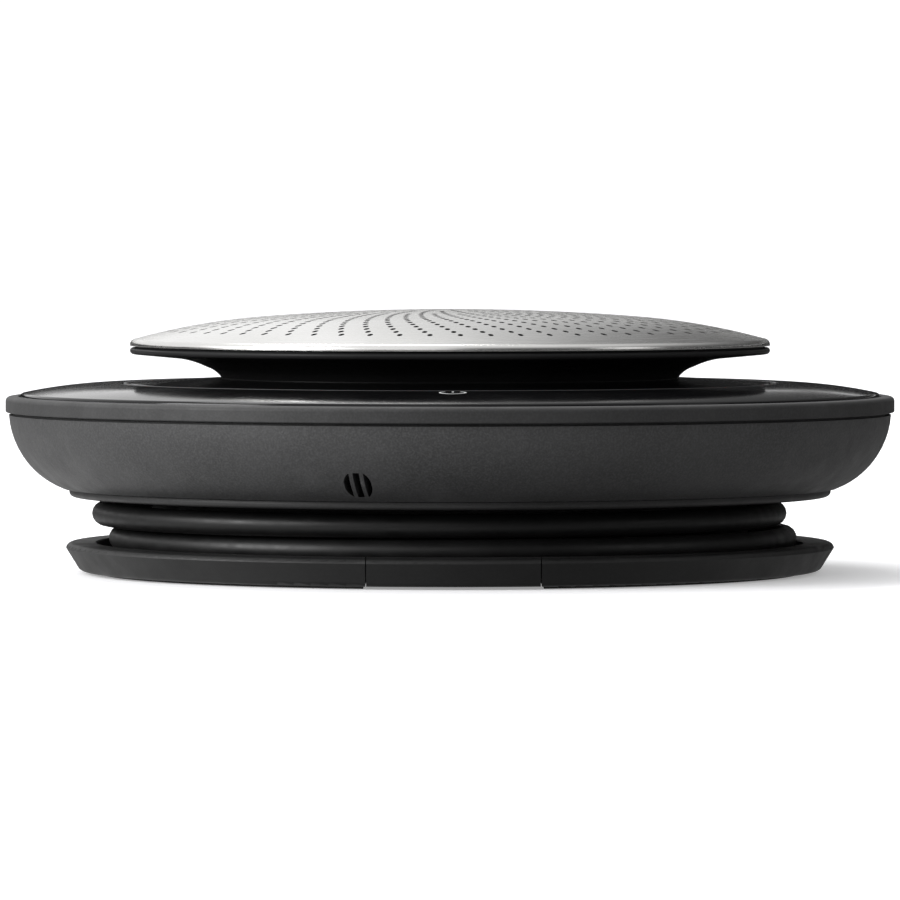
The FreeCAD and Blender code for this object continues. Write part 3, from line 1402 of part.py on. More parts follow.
lead_wire, lead_radii = rounded_wire(lead_corners)
lead_path = doc.addObject("Part::Feature", "lead_path")
lead_path.Shape = lead_wire
lead_section = doc.addObject("Part::Circle", "lead_section")
bind(lead_section, "Radius", dim.lead_r)
section_turn = FreeCAD.Rotation(FreeCAD.Vector(0, 0, 1), outlet_way)
lead_section.Placement = FreeCAD.Placement(lead_corners[0], section_turn)
lead = doc.addObject("Part::Sweep", "lead")
lead.Sections = [lead_section]
lead.Spine = (lead_path, ["Edge%d" % (i + 1) for i in range(len(lead_wire.Edges))])
lead.Solid = True
lead.Frenet = False
lead.Label = "lead"


def strain_cone(name, base, way):
    """A tapered sleeve from base along way."""
    made = doc.addObject("Part::Cone", name)
    bind(made, "Radius1", dim.sleeve_r)
    bind(made, "Radius2", dim.sleeve_tip_r)
    bind(made, "Height", dim.sleeve_long)
    made.Placement = FreeCAD.Placement(base, FreeCAD.Rotation(FreeCAD.Vector(0, 0, 1), way))
    return made


gland_cone = strain_cone("gland_cone", outlet_point(0), outlet_way)
gland_block = doc.addObject("Part::Box", "gland_block")
bind(gland_block, "Length", dim.gland_long)
bind(gland_block, "Width", dim.gland_out - dim.gland_in)
bind(gland_block, "Height", dim.gland_tall)
gland_corner = outlet_side * dim.gland_in.value - outlet_way * (dim.gland_long.value / 2)
gland_corner.z = dim.upper_z.value - dim.gland_tall.value / 2
gland_turn = FreeCAD.Rotation(FreeCAD.Vector(0, 0, 1), dim.outlet_turn.value - 90)
gland_block.Placement = FreeCAD.Placement(gland_corner, gland_turn)
gland_solid = joined("gland_solid", [gland_block, gland_cone])
hub_core = cylinder("hub_core", dim.hub_r, dim.cover_low_z)
lead_gland = boolean("Cut", "lead_gland", gland_solid, hub_core)

plug_cone = strain_cone("plug_cone", plug_root, plug_way)
plug_cone_root = doc.addObject("Part::Cylinder", "plug_cone_root")
bind(plug_cone_root, "Radius", dim.sleeve_r)
bind(plug_cone_root, "Height", dim.sleeve_root)
plug_cone_root.Placement = FreeCAD.Placement(
    plug_root - plug_way * dim.sleeve_root.value,
    FreeCAD.Rotation(FreeCAD.Vector(0, 0, 1), plug_way),
)
plug_cone_solid = joined("plug_cone_solid", [plug_cone, plug_cone_root])
plug_sleeve = boolean("Cut", "plug_sleeve", plug_cone_solid, plug_slice)

# Every sub-part, checked and written

SUB_PARTS = [
    "grille_dome",
    "grille_cloth",
    "head_housing",
    "driver_basket",
    "yoke",
    "magnet",
    "top_plate",
    "voice_coil",
    "cone",
    "dust_cap",
    "spider",
    "surround",
    "driver_gasket",
    "touch_panel",
    "light_ring",
    "inner_trim",
    "touch_board",
    "top_deck",
    "band",
    "bowl",
    "mic_boot",
    "mic_capsule",
    "main_board",
    "battery",
    "shield_can",
    "bottom_cover",
    "spool_hub",
    "ballast",
    "base_disc",
    "foot_ring",
    "kickstand",
    "hinge_pin_left",
    "hinge_pin_right",
    "stand_grip",
    "lead_gland",
    "lead",
    "plug_sleeve",
    "plug_grip",
    "plug_shell",
    "plug_tongue",
]
for group, count in (("driver_screw", 4), ("status_led", 4), ("case_screw", 4), ("base_screw", 4)):
    SUB_PARTS += ["%s_%d" % (group, number) for number in range(1, count + 1)]

doc.recompute()
for thing in doc.Objects:
    if "Invalid" in thing.State or "Error" in thing.State:
        raise ValueError(thing.Label + " failed: " + str(thing.State))
os.makedirs("parts", exist_ok=True)
for label in SUB_PARTS:
    found = doc.getObjectsByLabel(label)
    if len(found) != 1:
        raise ValueError(label + ": %d objects have this label" % len(found))
    shape = found[0].Shape
    if shape.isNull() or not shape.isValid() or len(shape.Solids) != 1:
        raise ValueError(label + ": its shape is not one valid solid")
    shape.exportStep("parts/" + label + ".step")

section_area = math.pi * dim.lead_r.value ** 2
print("lead: length %.1f mm" % lead_wire.Length)
print("lead: tightest arc %.1f mm" % min(lead_radii))
print("lead: volume / (section x length) %.4f" % (lead.Shape.Volume / (section_area * lead_wire.Length)))
print("%d sub-parts written" % len(SUB_PARTS))
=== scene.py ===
import json
import math

import bmesh
import bpy
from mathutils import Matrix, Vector
from mathutils.geometry import delaunay_2d_cdt


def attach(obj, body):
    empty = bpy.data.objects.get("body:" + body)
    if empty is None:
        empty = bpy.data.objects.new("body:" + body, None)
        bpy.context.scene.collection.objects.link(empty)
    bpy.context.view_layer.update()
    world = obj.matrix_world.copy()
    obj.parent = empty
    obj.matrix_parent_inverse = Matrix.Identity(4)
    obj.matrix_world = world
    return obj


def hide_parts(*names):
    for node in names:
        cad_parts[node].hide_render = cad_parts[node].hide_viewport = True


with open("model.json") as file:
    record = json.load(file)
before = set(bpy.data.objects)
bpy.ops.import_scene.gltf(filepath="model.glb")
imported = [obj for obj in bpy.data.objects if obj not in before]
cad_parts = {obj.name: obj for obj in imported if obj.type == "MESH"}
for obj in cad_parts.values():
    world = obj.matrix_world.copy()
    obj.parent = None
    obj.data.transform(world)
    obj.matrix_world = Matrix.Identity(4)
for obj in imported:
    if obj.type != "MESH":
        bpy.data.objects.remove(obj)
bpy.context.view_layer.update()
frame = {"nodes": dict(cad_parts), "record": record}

# Conference speakerphone. Metres, +Z up, the Z axis is the axis of the body, -Y is the front.
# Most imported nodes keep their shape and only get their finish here. Five are replaced by pieces made in
# mesh or curve code: the dome, with its holes cut through, three turned rings and the lead. The printed
# power mark is an extra piece.

MM = 0.001

# Steel dome, in millimetres
DOME_R = 47.9
DOME_TOP = 39.4
DOME_SHEET = 0.6
CROWN_R = 28.7
CROWN_DROP = 1.15
SHOULDER_ARC = 100.0
SHOULDER_Z = 35.05
RIM_Z = 34.0
RIM_ROUND = 0.9

# Perforation of the dome, in millimetres and radians. A hole is HOLE_STRETCH times as long along the
# radius as across it. Rings shrink inward by RING_STEP, and halve their count where holes would crowd.
# All holes lie within the radius HOLE_LIMIT.
HOLE_R = 0.4
HOLE_STRETCH = 1.65
HOLE_SIDES = 12
HOLES_PER_RING = 60
OUTER_RING_R = 42.1
RING_STEP = 1.99
RING_TWIST = 0.0226
RING_START = 0.036
HOLE_SPACING = 1.75
HOLE_LIMIT = 45.0

# Mesh of the dome outside its holes: radii of plain rings in millimetres, and how finely it is divided
PLAIN_RINGS = (43.3, 44.7, 46.0)
ROUND_SIDES = 256
RIM_STEPS = 6

# Tolerances in the dome's plan, in millimetres
RIM_SLACK = 0.001
SAME_POINT = 1e-6

# A face counts as upright when its normal rises less than this
UPRIGHT = 0.5

# Turned rings, in millimetres: (radius, height, rounding) corners, anticlockwise
RING_SIDES = 288
CORNER_STEPS = 12
PANEL_CORNERS = (
    (49.1, 26.85, 0.1),
    (64.3, 24.9, 0.1),
    (64.3, 26.85, 0.5),
    (56.8, 28.45, 64.0),
    (49.1, 28.35, 0.2),
)
TRIM_CORNERS = (
    (34.75, 27.7, 0.1),
    (48.05, 27.0, 0.1),
    (48.05, 28.4, 0.2),
    (34.75, 29.1, 0.3),
)
BAND_CORNERS = (
    (63.8, 23.7, 0.05),
    (65.4, 23.7, 0.05),
    (65.4, 24.1, 0.05),
    (66.5, 24.1, 0.2),
    (66.5, 26.4, 0.7),
    (64.55, 26.5, 0.15),
    (64.55, 24.7, 0.05),
    (63.8, 24.3, 0.05),
)

# Wound lead, in millimetres and degrees, but its length in metres. UPPER, LOWER and TAIL give a turn's
# sideways shift, radius and height. The lead drops from one to the next over DROP_SPAN. Its control
# points stand outside the radius by CORNER_SHARE, because the spline cuts inside its corners.
LEAD_D = 3.5
LEAD_ROUND_STEPS = 6
LEAD_ALONG_STEPS = 8
OUTLET_TURN = 116.0
OUTLET_OFF = 46.4
OUTLET_STRAIGHT = 20.0
SLEEVE_LONG = 8.0
UPPER = Vector((-1.6, 50.3, 8.95))
LOWER = Vector((0.4, 49.8, 5.3))
TAIL = Vector((0.0, 46.6, 3.1))
CORNER_SHARE = 0.9885
FIRST_DROP = -202.0
SECOND_DROP = -550.0
DROP_SPAN = 55.0
TURN_START = 72
TURN_END = -774
TURN_STEP = 18
PLUG_ROOT = Vector((13.0, -45.0, 3.1))

# Power mark printed on the touch panel, in millimetres and degrees. MARK_LIFT is half the print's thickness.
MARK_AT = Vector((0.4, -54.3, 0.0))
MARK_R = 1.85
MARK_STROKE = 0.28
MARK_GAP = 38.0
MARK_TICK = 1.9
MARK_LIFT = 0.02
MARK_SIDES = 40
TICK_SIDES = 4

# Camera and floor
CAMERA_AT = Vector((0.0, -1.187, 0.0562))
CAMERA_AIM = Vector((0.0, 0.0, 0.0183))
SENSOR = 36.0
LENS = 317.0
FLOOR_HALF = 40.0
FLOOR_TONES = (0.9, 0.92)
FLOOR_MOTTLE = 0.4
FLOOR_GLOW = 0.3
CLIP_END = 4.0 * FLOOR_HALF

# Studio surround: elevation in degrees and brightness, at the left and at the right
LEFT_SURROUND = (
    (-90.0, 0.05),
    (-60.0, 0.3),
    (-35.0, 0.85),
    (-20.0, 0.8),
    (-8.0, 0.4),
    (-1.0, 0.15),
    (-0.3, 0.95),
    (90.0, 0.95),
)
RIGHT_SURROUND = (
    (-90.0, 0.03),
    (-60.0, 0.1),
    (-35.0, 0.3),
    (-20.0, 0.3),
    (-8.0, 0.2),
    (-1.0, 0.1),
    (-0.3, 0.95),
    (8.0, 0.95),
    (8.5, 0.04),
    (30.0, 0.15),
    (60.0, 0.7),
    (90.0, 0.85),
)

# The left grade gives way to the right one between these X parts of the direction looked in
SIDE_FADE = (-0.06, 0.1)
SURROUND_STRENGTH = 1.15

# Dark flag that only reflections see: a belt round the object, from one elevation in degrees to another
FLAG_R = 8.0
FLAG_LOW = -0.5
FLAG_HIGH = 7.5
FLAG_SIDES = 96
FLAG_TONES = (0.028, 0.035)
FLAG_MOTTLE = 0.5

# Softboxes: name, place, width, height and power in watts
SOFTBOX_AIM = Vector((0.0, 0.0, 0.02))
SOFTBOXES = (
    ("left_softbox", (-1.3, -0.55, 0.5), 0.8, 0.7, 20.0),
    ("top_strip", (-0.5, 0.7, 1.7), 1.3, 0.35, 15.0),
    ("right_softbox", (1.2, -0.5, 0.5), 0.5, 0.6, 1.0),
)

# Colour sockets of a Mix node
MIX_FIRST = 6
MIX_SECOND = 7
MIX_RESULT = 2

# Moulded plastic: how much lighter flecks and rubbed places are, and its coarse relief against the fine
FLECK_LIFT = 1.7
RUB_LIFT = 2.0
RUB_HAZE = 0.004
COARSE_GRAIN = 3.5
COARSE_DEPTH = 1.5

# Turned steel: cells of grain to a metre of radius and to a radian round the axis
GRAIN_ACROSS = 9000.0
GRAIN_AROUND = 5.0

# Voice coil: pitch of the wire in metres. Circuit boards: cells to a metre.
WIRE_PITCH = 0.00026
TRACK_SCALE = 260.0
VIA_SCALE = 420.0


# Finishes

class Finish:
    """A node material that is built up socket by socket."""

    def __init__(self, name, roughness=0.5, metallic=0.0, specular=0.5):
        self.material = bpy.data.materials.new(name)
        self.material.use_nodes = True
        self.nodes = self.material.node_tree.nodes
        self.links = self.material.node_tree.links
        self.shader = self.nodes["Principled BSDF"]
        self.shader.inputs["Roughness"].default_value = roughness
        self.shader.inputs["Metallic"].default_value = metallic
        self.shader.inputs["Specular IOR Level"].default_value = specular
        self.place = self.nodes.new("ShaderNodeTexCoord").outputs["Object"]

    def link(self, source, target):
        """Links one socket to another."""
        self.links.new(source, target)

    def feed(self, value, socket):
        """Gives a socket its value: a number or another socket."""
        if isinstance(value, (int, float)):
            socket.default_value = value
        else:
            self.link(value, socket)

    def math(self, operation, first, second=None):
        """A Math node; first and second are sockets or numbers."""
        node = self.nodes.new("ShaderNodeMath")
        node.operation = operation
        self.feed(first, node.inputs[0])
        if second is not None:
            self.feed(second, node.inputs[1])
        return node.outputs[0]

    def axes(self):
        """The X, Y and Z of the surface point, in metres."""
        node = self.nodes.new("ShaderNodeSeparateXYZ")
        self.link(self.place, node.inputs[0])
        return node.outputs

    def vector(self, x, y, z):
        """A vector of three parts, each a socket or a number."""
        node = self.nodes.new("ShaderNodeCombineXYZ")
        for value, socket in zip((x, y, z), node.inputs):
            self.feed(value, socket)
        return node.outputs[0]

    def radius(self):
        """Distance of the surface point from the body's axis."""
        x, y, _ = self.axes()
        return self.math("SQRT", self.math("ADD", self.math("MULTIPLY", x, x), self.math("MULTIPLY", y, y)))

    def noise(self, size, detail=3.0, place=None, stretch=None):
        """Noise whose features are about size metres across."""
        node = self.nodes.new("ShaderNodeTexNoise")
        node.inputs["Scale"].default_value = 1.0 / size
        node.inputs["Detail"].default_value = detail
        source = place or self.place
        if stretch:
            scaled = self.nodes.new("ShaderNodeMapping")
            scaled.inputs["Scale"].default_value = stretch
            self.link(source, scaled.inputs["Vector"])
            source = scaled.outputs[0]
        self.link(source, node.inputs["Vector"])
        return node.outputs["Fac"]

    def waves(self, pitch, direction, place=None):
        """Parallel ridges with this pitch in metres along X, Y or Z."""
        node = self.nodes.new("ShaderNodeTexWave")
        node.wave_type = "BANDS"
        node.bands_direction = direction
        node.wave_profile = "SIN"
        node.inputs["Scale"].default_value = math.pi / (10.0 * pitch)
        node.inputs["Distortion"].default_value = 0.0
        self.link(place or self.place, node.inputs["Vector"])
        return node.outputs["Fac"]

    def spread(self, factor, low, high, start=0.3, end=0.7):
        """factor from start to end, mapped to low to high."""
        node = self.nodes.new("ShaderNodeMapRange")
        node.inputs["From Min"].default_value = start
        node.inputs["From Max"].default_value = end
        node.inputs["To Min"].default_value = low
        node.inputs["To Max"].default_value = high
        self.link(factor, node.inputs["Value"])
        return node.outputs[0]

    def blend(self, factor, first, second):
        """A colour between two, each a colour tuple or a socket."""
        node = self.nodes.new("ShaderNodeMix")
        node.data_type = "RGBA"
        self.link(factor, node.inputs["Factor"])
        for number, value in ((MIX_FIRST, first), (MIX_SECOND, second)):
            if isinstance(value, tuple):
                node.inputs[number].default_value = (*value, 1.0)
            else:
                self.link(value, node.inputs[number])
        return node.outputs[MIX_RESULT]

    def colour(self, source):
        """Takes the base colour from a socket."""
        self.link(source, self.shader.inputs["Base Color"])

    def rough(self, source):
        """Takes the roughness from a socket."""
        self.link(source, self.shader.inputs["Roughness"])

    def bump(self, height, depth, under=None):
        """Relief of depth metres, on top of the relief under."""
        node = self.nodes.new("ShaderNodeBump")
        node.inputs["Strength"].default_value = 1.0
        node.inputs["Distance"].default_value = depth
        self.link(height, node.inputs["Height"])
        if under:
            self.link(under, node.inputs["Normal"])
        self.link(node.outputs[0], self.shader.inputs["Normal"])
        return node.outputs[0]


def grey(tone):
    """A neutral colour, a trace cooler than its tone."""
    return (tone, tone, tone * 1.02)


def moulded(name, dark, light, roughness, grain, depth, fleck=0.45):
    """Moulded plastic: fine spark-eroded grain, slow tone drift, a few rubbed places."""
    made = Finish(name, roughness)
    base = made.blend(made.spread(made.noise(0.012, 2.0), 0.0, 1.0), grey(dark), grey(light))
    grains = made.spread(made.noise(grain, 2.0), 0.0, fleck, 0.4, 0.75)
    base = made.blend(grains, base, grey(light * FLECK_LIFT))
    rubs = made.spread(made.noise(0.009, 6.0), 0.0, 0.3, 0.6, 0.75)
    made.colour(made.blend(rubs, base, grey(light * RUB_LIFT + RUB_HAZE)))
    made.rough(made.spread(made.noise(0.004, 4.0), roughness - 0.06, roughness + 0.06))
    fine = made.bump(made.noise(grain, 4.0), depth)
    made.bump(made.noise(grain * COARSE_GRAIN, 2.0), depth * COARSE_DEPTH, fine)
    return made


def brushed_steel(name):
    """Satin steel turned on a lathe: grain in rings, slow change of sheen."""
    made = Finish(name, 0.3, metallic=1.0)
    radius = made.radius()
    x, y, _ = made.axes()
    turn = made.math("ARCTAN2", y, x)
    across = made.math("MULTIPLY", radius, GRAIN_ACROSS)
    around = made.math("MULTIPLY", turn, GRAIN_AROUND)
    rings = made.vector(across, around, 0.0)
    grain = made.noise(1.0, 3.0, place=rings)
    slow = made.noise(0.016, 2.0)
    base = made.blend(made.spread(slow, 0.0, 1.0), (0.66, 0.655, 0.64), (0.74, 0.735, 0.725))
    made.colour(made.blend(made.spread(grain, 0.0, 0.16), base, (0.5, 0.495, 0.485)))
    made.rough(made.spread(grain, 0.2, 0.3))
    made.bump(grain, 0.000004)
    return made


def plated(name, dark, light, roughness, grain=0.0006):
    """Plated or drawn metal with faint handling marks."""
    made = Finish(name, roughness, metallic=1.0)
    made.colour(made.blend(made.noise(0.004, 4.0), dark, light))
    made.rough(made.spread(made.noise(grain * 3.0, 5.0), roughness - 0.08, roughness + 0.1))
    made.bump(made.noise(grain, 3.0, stretch=(1.0, 6.0, 1.0)), 0.000006)
    return made


def gloss(name, base, lift, roughness, specular):
    """Polished black plastic with a faint haze of handling and a little orange peel."""
    made = Finish(name, roughness, specular=specular)
    haze = made.noise(0.02, 5.0)
    made.colour(made.blend(made.spread(haze, 0.0, 1.0, 0.4, 0.75), base, lift))
    made.rough(made.spread(haze, roughness * 0.7, roughness * 1.8))
    made.bump(made.noise(0.006, 2.0), 0.000006)
    return made


def rubber(name, base, lift, grain=0.0003, roughness=0.62):
    """Moulded rubber or cable jacket: matt, dusty in places."""
    made = Finish(name, roughness, specular=0.35)
    dust = made.noise(0.008, 6.0)
    made.colour(made.blend(made.spread(dust, 0.0, 0.8, 0.45, 0.8), grey(base), grey(lift)))
    made.rough(made.spread(made.noise(0.003, 4.0), roughness - 0.08, roughness + 0.08))
    made.bump(made.noise(grain, 4.0), 0.00001)
    return made


def woven(name, thread, gap, pitch, depth):
    """Plain weave with threads along X and Y."""
    made = Finish(name, 0.85, specular=0.2)
    warp = made.waves(pitch, "X")
    weft = made.waves(pitch, "Y")
    over = made.math("MAXIMUM", warp, weft)
    made.colour(made.blend(over, gap, made.blend(made.noise(0.0015, 3.0), thread, gap)))
    made.rough(made.spread(made.noise(0.002, 3.0), 0.75, 0.95))
    made.bump(made.math("MULTIPLY", over, made.spread(made.noise(pitch, 2.0), 0.7, 1.0)), depth)
    made.shader.inputs["Sheen Weight"].default_value = 0.25
    return made


def speckled(name, base, fleck, roughness, size, metallic=0.0, depth=0.00004):
    """Sintered, cast or foamed stock: cells of two tones."""
    made = Finish(name, roughness, metallic=metallic, specular=0.4)
    cells = made.nodes.new("ShaderNodeTexVoronoi")
    cells.inputs["Scale"].default_value = 1.0 / size
    made.link(made.place, cells.inputs["Vector"])
    tone = made.spread(cells.outputs["Distance"], 0.0, 1.0, 0.1, 0.7)
    made.colour(made.blend(tone, fleck, base))
    made.rough(made.spread(made.noise(size * 4.0, 4.0), roughness - 0.1, roughness + 0.1))
    made.bump(made.math("ADD", tone, made.noise(size * 2.0, 4.0)), depth)
    return made


def wound_copper(name):
    """Enamelled wire wound in rings up the former."""
    made = Finish(name, 0.32, metallic=1.0)
    turns = made.waves(WIRE_PITCH, "Z")
    made.colour(made.blend(turns, (0.30, 0.11, 0.05), (0.80, 0.38, 0.19)))
    made.rough(made.spread(made.noise(0.001, 3.0), 0.24, 0.42))
    made.bump(turns, 0.00006)
    return made


def circuit(name):
    """Solder mask over copper: tracks in a lattice, vias and pads."""
    made = Finish(name, 0.38, specular=0.5)
    lattice = made.nodes.new("ShaderNodeTexBrick")
    lattice.inputs["Scale"].default_value = TRACK_SCALE
    lattice.inputs["Mortar Size"].default_value = 0.05
    lattice.inputs["Color1"].default_value = (0.004, 0.05, 0.02, 1.0)
    lattice.inputs["Color2"].default_value = (0.006, 0.08, 0.03, 1.0)
    lattice.inputs["Mortar"].default_value = (0.012, 0.13, 0.05, 1.0)
    made.link(made.place, lattice.inputs["Vector"])
    vias = made.nodes.new("ShaderNodeTexVoronoi")
    vias.inputs["Scale"].default_value = VIA_SCALE
    made.link(made.place, vias.inputs["Vector"])
    pad = made.spread(vias.outputs["Distance"], 1.0, 0.0, 0.13, 0.17)
    made.colour(made.blend(pad, lattice.outputs["Color"], (0.62, 0.56, 0.42)))
    made.rough(made.spread(made.noise(0.003, 3.0), 0.3, 0.5))
    made.bump(made.math("ADD", lattice.outputs["Fac"], pad), 0.00003)
    return made


def foil(name):
    """Battery wrap: bright film with soft creases, with painted shade that darkens the hollows of the
    creases and lightens their ridges.
    """
    made = Finish(name, 0.3, metallic=0.9)
    crease = made.noise(0.006, 6.0, stretch=(1.0, 2.5, 1.0))
    # Colour follows the crease relief: painted shade in the hollows, lighter on the ridges
    made.colour(made.blend(crease, (0.42, 0.43, 0.45), (0.66, 0.67, 0.69)))
    made.rough(made.spread(crease, 0.2, 0.42))
    made.bump(crease, 0.00025)
    return made


def frosted(name, tone):
    """Light guide: milky plastic that lets light into it."""
    made = Finish(name, 0.5, specular=0.4)
    made.colour(made.blend(made.noise(0.003, 3.0), tuple(channel * 0.8 for channel in tone), tone))
    made.rough(made.spread(made.noise(0.002, 3.0), 0.42, 0.6))
    made.bump(made.noise(0.0004, 3.0), 0.00001)
    made.shader.inputs["Subsurface Weight"].default_value = 0.15
    made.shader.inputs["Subsurface Scale"].default_value = 0.001
    return made


def printed(name):
    """Light-grey screen print with a slightly uneven ink film."""
    made = Finish(name, 0.5, specular=0.4)
    ink = made.noise(0.0005, 4.0)
    made.colour(made.blend(ink, (0.42, 0.43, 0.43), (0.62, 0.63, 0.63)))
    made.rough(made.spread(ink, 0.42, 0.6))
    made.bump(ink, 0.000004)
    return made


FINISHES = {
    "satin_steel": brushed_steel("satin_steel_finish"),
    "acoustic_cloth": woven("cloth_finish", (0.012, 0.012, 0.012), (0.003, 0.003, 0.003), 0.0004, 0.00012),
    "gloss_black": gloss("gloss_black_finish", (0.012, 0.012, 0.0125), (0.016, 0.016, 0.0165), 0.36, 0.14),
    "black_steel": moulded("black_steel_finish", 0.02, 0.035, 0.42, 0.0006, 0.00001),
    "zinc_steel": plated("zinc_steel_finish", (0.46, 0.47, 0.48), (0.66, 0.67, 0.68), 0.34),
    "ferrite": speckled("ferrite_finish", (0.035, 0.035, 0.04), (0.075, 0.075, 0.08), 0.6, 0.0005),
    "copper": wound_copper("copper_finish"),
    "cone_paper": speckled("cone_paper_finish", (0.018, 0.018, 0.02), (0.035, 0.035, 0.038), 0.8, 0.0009),
    "spider_cloth": woven("spider_cloth_finish", (0.45, 0.31, 0.12), (0.2, 0.13, 0.05), 0.0006, 0.0001),
    "soft_rubber": rubber("soft_rubber_finish", 0.022, 0.05),
    "foam": speckled("foam_finish", (0.02, 0.02, 0.02), (0.005, 0.005, 0.005), 0.9, 0.0004, depth=0.0001),
    "touch_gloss": gloss("touch_gloss_finish", (0.004, 0.004, 0.0045), (0.007, 0.007, 0.0075), 0.1, 0.25),
    "light_guide": frosted("light_guide_finish", (0.03, 0.03, 0.032)),
    "circuit_board": circuit("circuit_board_finish"),
    "structural_plastic": moulded("structural_plastic_finish", 0.016, 0.026, 0.55, 0.0005, 0.00002),
    "soft_band": moulded("soft_band_finish", 0.019, 0.027, 0.66, 0.00035, 0.000015),
    "bowl_grey": moulded("bowl_grey_finish", 0.031, 0.041, 0.52, 0.0003, 0.00003, fleck=0.8),
    "battery_foil": foil("battery_foil_finish"),
    "cover_black": moulded("cover_black_finish", 0.012, 0.018, 0.5, 0.0004, 0.00001),
    "cast_ballast": speckled("ballast_finish", grey(0.1), grey(0.2), 0.6, 0.0012, 0.8, 0.0001),
    "base_black": moulded("base_black_finish", 0.003, 0.006, 0.56, 0.0004, 0.000012),
    "foot_rubber": rubber("foot_rubber_finish", 0.02, 0.05, 0.0004, 0.7),
    "stand_black": moulded("stand_black_finish", 0.015, 0.023, 0.5, 0.0005, 0.00002),
    "pin_steel": plated("pin_steel_finish", (0.42, 0.42, 0.43), (0.62, 0.62, 0.63), 0.26),
    "lead_black": rubber("lead_black_finish", 0.006, 0.011, 0.0005, 0.46),
    "plug_black": moulded("plug_black_finish", 0.003, 0.006, 0.56, 0.0004, 0.000012),
    "plug_metal": plated("plug_metal_finish", (0.58, 0.58, 0.57), (0.76, 0.76, 0.75), 0.26),
    "plug_insulator": moulded("plug_insulator_finish", 0.5, 0.6, 0.5, 0.0006, 0.00001),
    "screw_steel": plated("screw_steel_finish", (0.1, 0.1, 0.105), (0.2, 0.2, 0.21), 0.4),
    "led_body": frosted("led_body_finish", (0.7, 0.7, 0.68)),
    "mark_ink": printed("mark_ink_finish"),
    # Hole walls of the steel dome: near-black, which is painted shade inside the holes, not the steel's own
    # colour
    "hole_wall": rubber("hole_wall_painted_shade_finish", 0.002, 0.004, 0.0002, 0.8),
}


def give(piece, slot_name):
    """Puts the finish of a material slot on a piece."""
    piece.data.materials.clear()
    piece.data.materials.append(FINISHES[slot_name].material)


# Carried-over nodes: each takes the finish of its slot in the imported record
for subpart in frame["record"]["subparts"]:
    give(frame["nodes"][subpart["node"]], subpart["material_slot"])


# Perforated steel dome

def sphere_drop(sphere_r, radius):
    """How far a sphere's surface has dropped at this radius."""
    return sphere_r - math.sqrt(sphere_r * sphere_r - radius * radius)


CROWN_SPHERE = (CROWN_R * CROWN_R + CROWN_DROP * CROWN_DROP) / (2.0 * CROWN_DROP)
CROWN_EDGE_Z = DOME_TOP - CROWN_DROP
SHOULDER_R = DOME_R - RIM_ROUND


def arc_centre(inner, outer, arc_r):
    """Centre below an arc that bulges upward from inner to outer, each (radius, height)."""
    run = outer[0] - inner[0]
    fall = outer[1] - inner[1]
    chord = math.hypot(run, fall)
    depth = math.sqrt(arc_r * arc_r - chord * chord / 4.0)
    middle_r = (inner[0] + outer[0]) / 2.0
    middle_z = (inner[1] + outer[1]) / 2.0
    return middle_r + fall / chord * depth, middle_z - run / chord * depth


SHOULDER_CENTRE = arc_centre((CROWN_R, CROWN_EDGE_Z), (SHOULDER_R, SHOULDER_Z), SHOULDER_ARC)


def dome_height(radius):
    """Height of the dome's outer face."""
    if radius <= CROWN_R:
        return DOME_TOP - sphere_drop(CROWN_SPHERE, radius)
    return SHOULDER_CENTRE[1] + math.sqrt(SHOULDER_ARC ** 2 - (radius - SHOULDER_CENTRE[0]) ** 2)


def dome_slope(radius):
    """Outward normal of the dome's outer face as (radial, up)."""
    if radius <= CROWN_R:
        return radius / CROWN_SPHERE, math.sqrt(1.0 - (radius / CROWN_SPHERE) ** 2)
    lean = (radius - SHOULDER_CENTRE[0]) / SHOULDER_ARC
    return lean, math.sqrt(1.0 - lean * lean)


def ring_point(radius, turn):
    """A planar point at this radius and angle in radians."""
    return Vector((radius * math.cos(turn), radius * math.sin(turn)))


def hole_centres():
    """Hole centres: rings that shrink inward, each turned a little from the one outside it."""
    centres = [Vector((0.0, 0.0))]
    count = HOLES_PER_RING
    radius = OUTER_RING_R
    lag = RING_START
    while radius > RING_STEP:
        if 2.0 * math.pi * radius / count < HOLE_SPACING:
            count //= 2
        for index in range(count):
            centres.append(ring_point(radius, -math.pi / 2 + lag + 2.0 * math.pi * index / count))
        radius -= RING_STEP
        lag -= RING_TWIST
    return centres


def perforated_layout():
    """The dome's points and triangles in plan, with its holes left open."""
    points = []
    edges = []
    loops = []
    for centre in hole_centres():
        first = len(points)
        out = centre.normalized() if centre.length else Vector((1.0, 0.0))
        for side in range(HOLE_SIDES):
            edge = ring_point(HOLE_R, 2.0 * math.pi * side / HOLE_SIDES)
            points.append(centre + edge + out * edge.dot(out) * (HOLE_STRETCH - 1.0))
        loops.append(list(range(first, first + HOLE_SIDES)))
    for radius in (*PLAIN_RINGS, SHOULDER_R):
        first = len(points)
        for side in range(ROUND_SIDES):
            points.append(ring_point(radius, 2.0 * math.pi * side / ROUND_SIDES))
            edges.append((first + side, first + (side + 1) % ROUND_SIDES))
    points, _, triangles, _, _, origins = delaunay_2d_cdt(points, edges, loops, 0, SAME_POINT)
    return points, [face for face, origin in zip(triangles, origins) if not origin]


def dome_face():
    """The perforated face of the dome, with its outward normals."""
    points, triangles = perforated_layout()
    places = []
    normals = []
    for point in points:
        radius = point.length
        away = point / radius if radius > SAME_POINT else Vector((1.0, 0.0))
        lean, up = dome_slope(radius)
        places.append(Vector((point.x, point.y, dome_height(radius))))
        normals.append(Vector((away.x * lean, away.y * lean, up)))
    edge = [index for index, point in enumerate(points) if point.length > SHOULDER_R - RIM_SLACK]
    edge.sort(key=lambda index: math.atan2(points[index].y, points[index].x))
    outward = [points[index] / points[index].length for index in edge]
    return places, normals, [tuple(face) for face in triangles], edge, outward


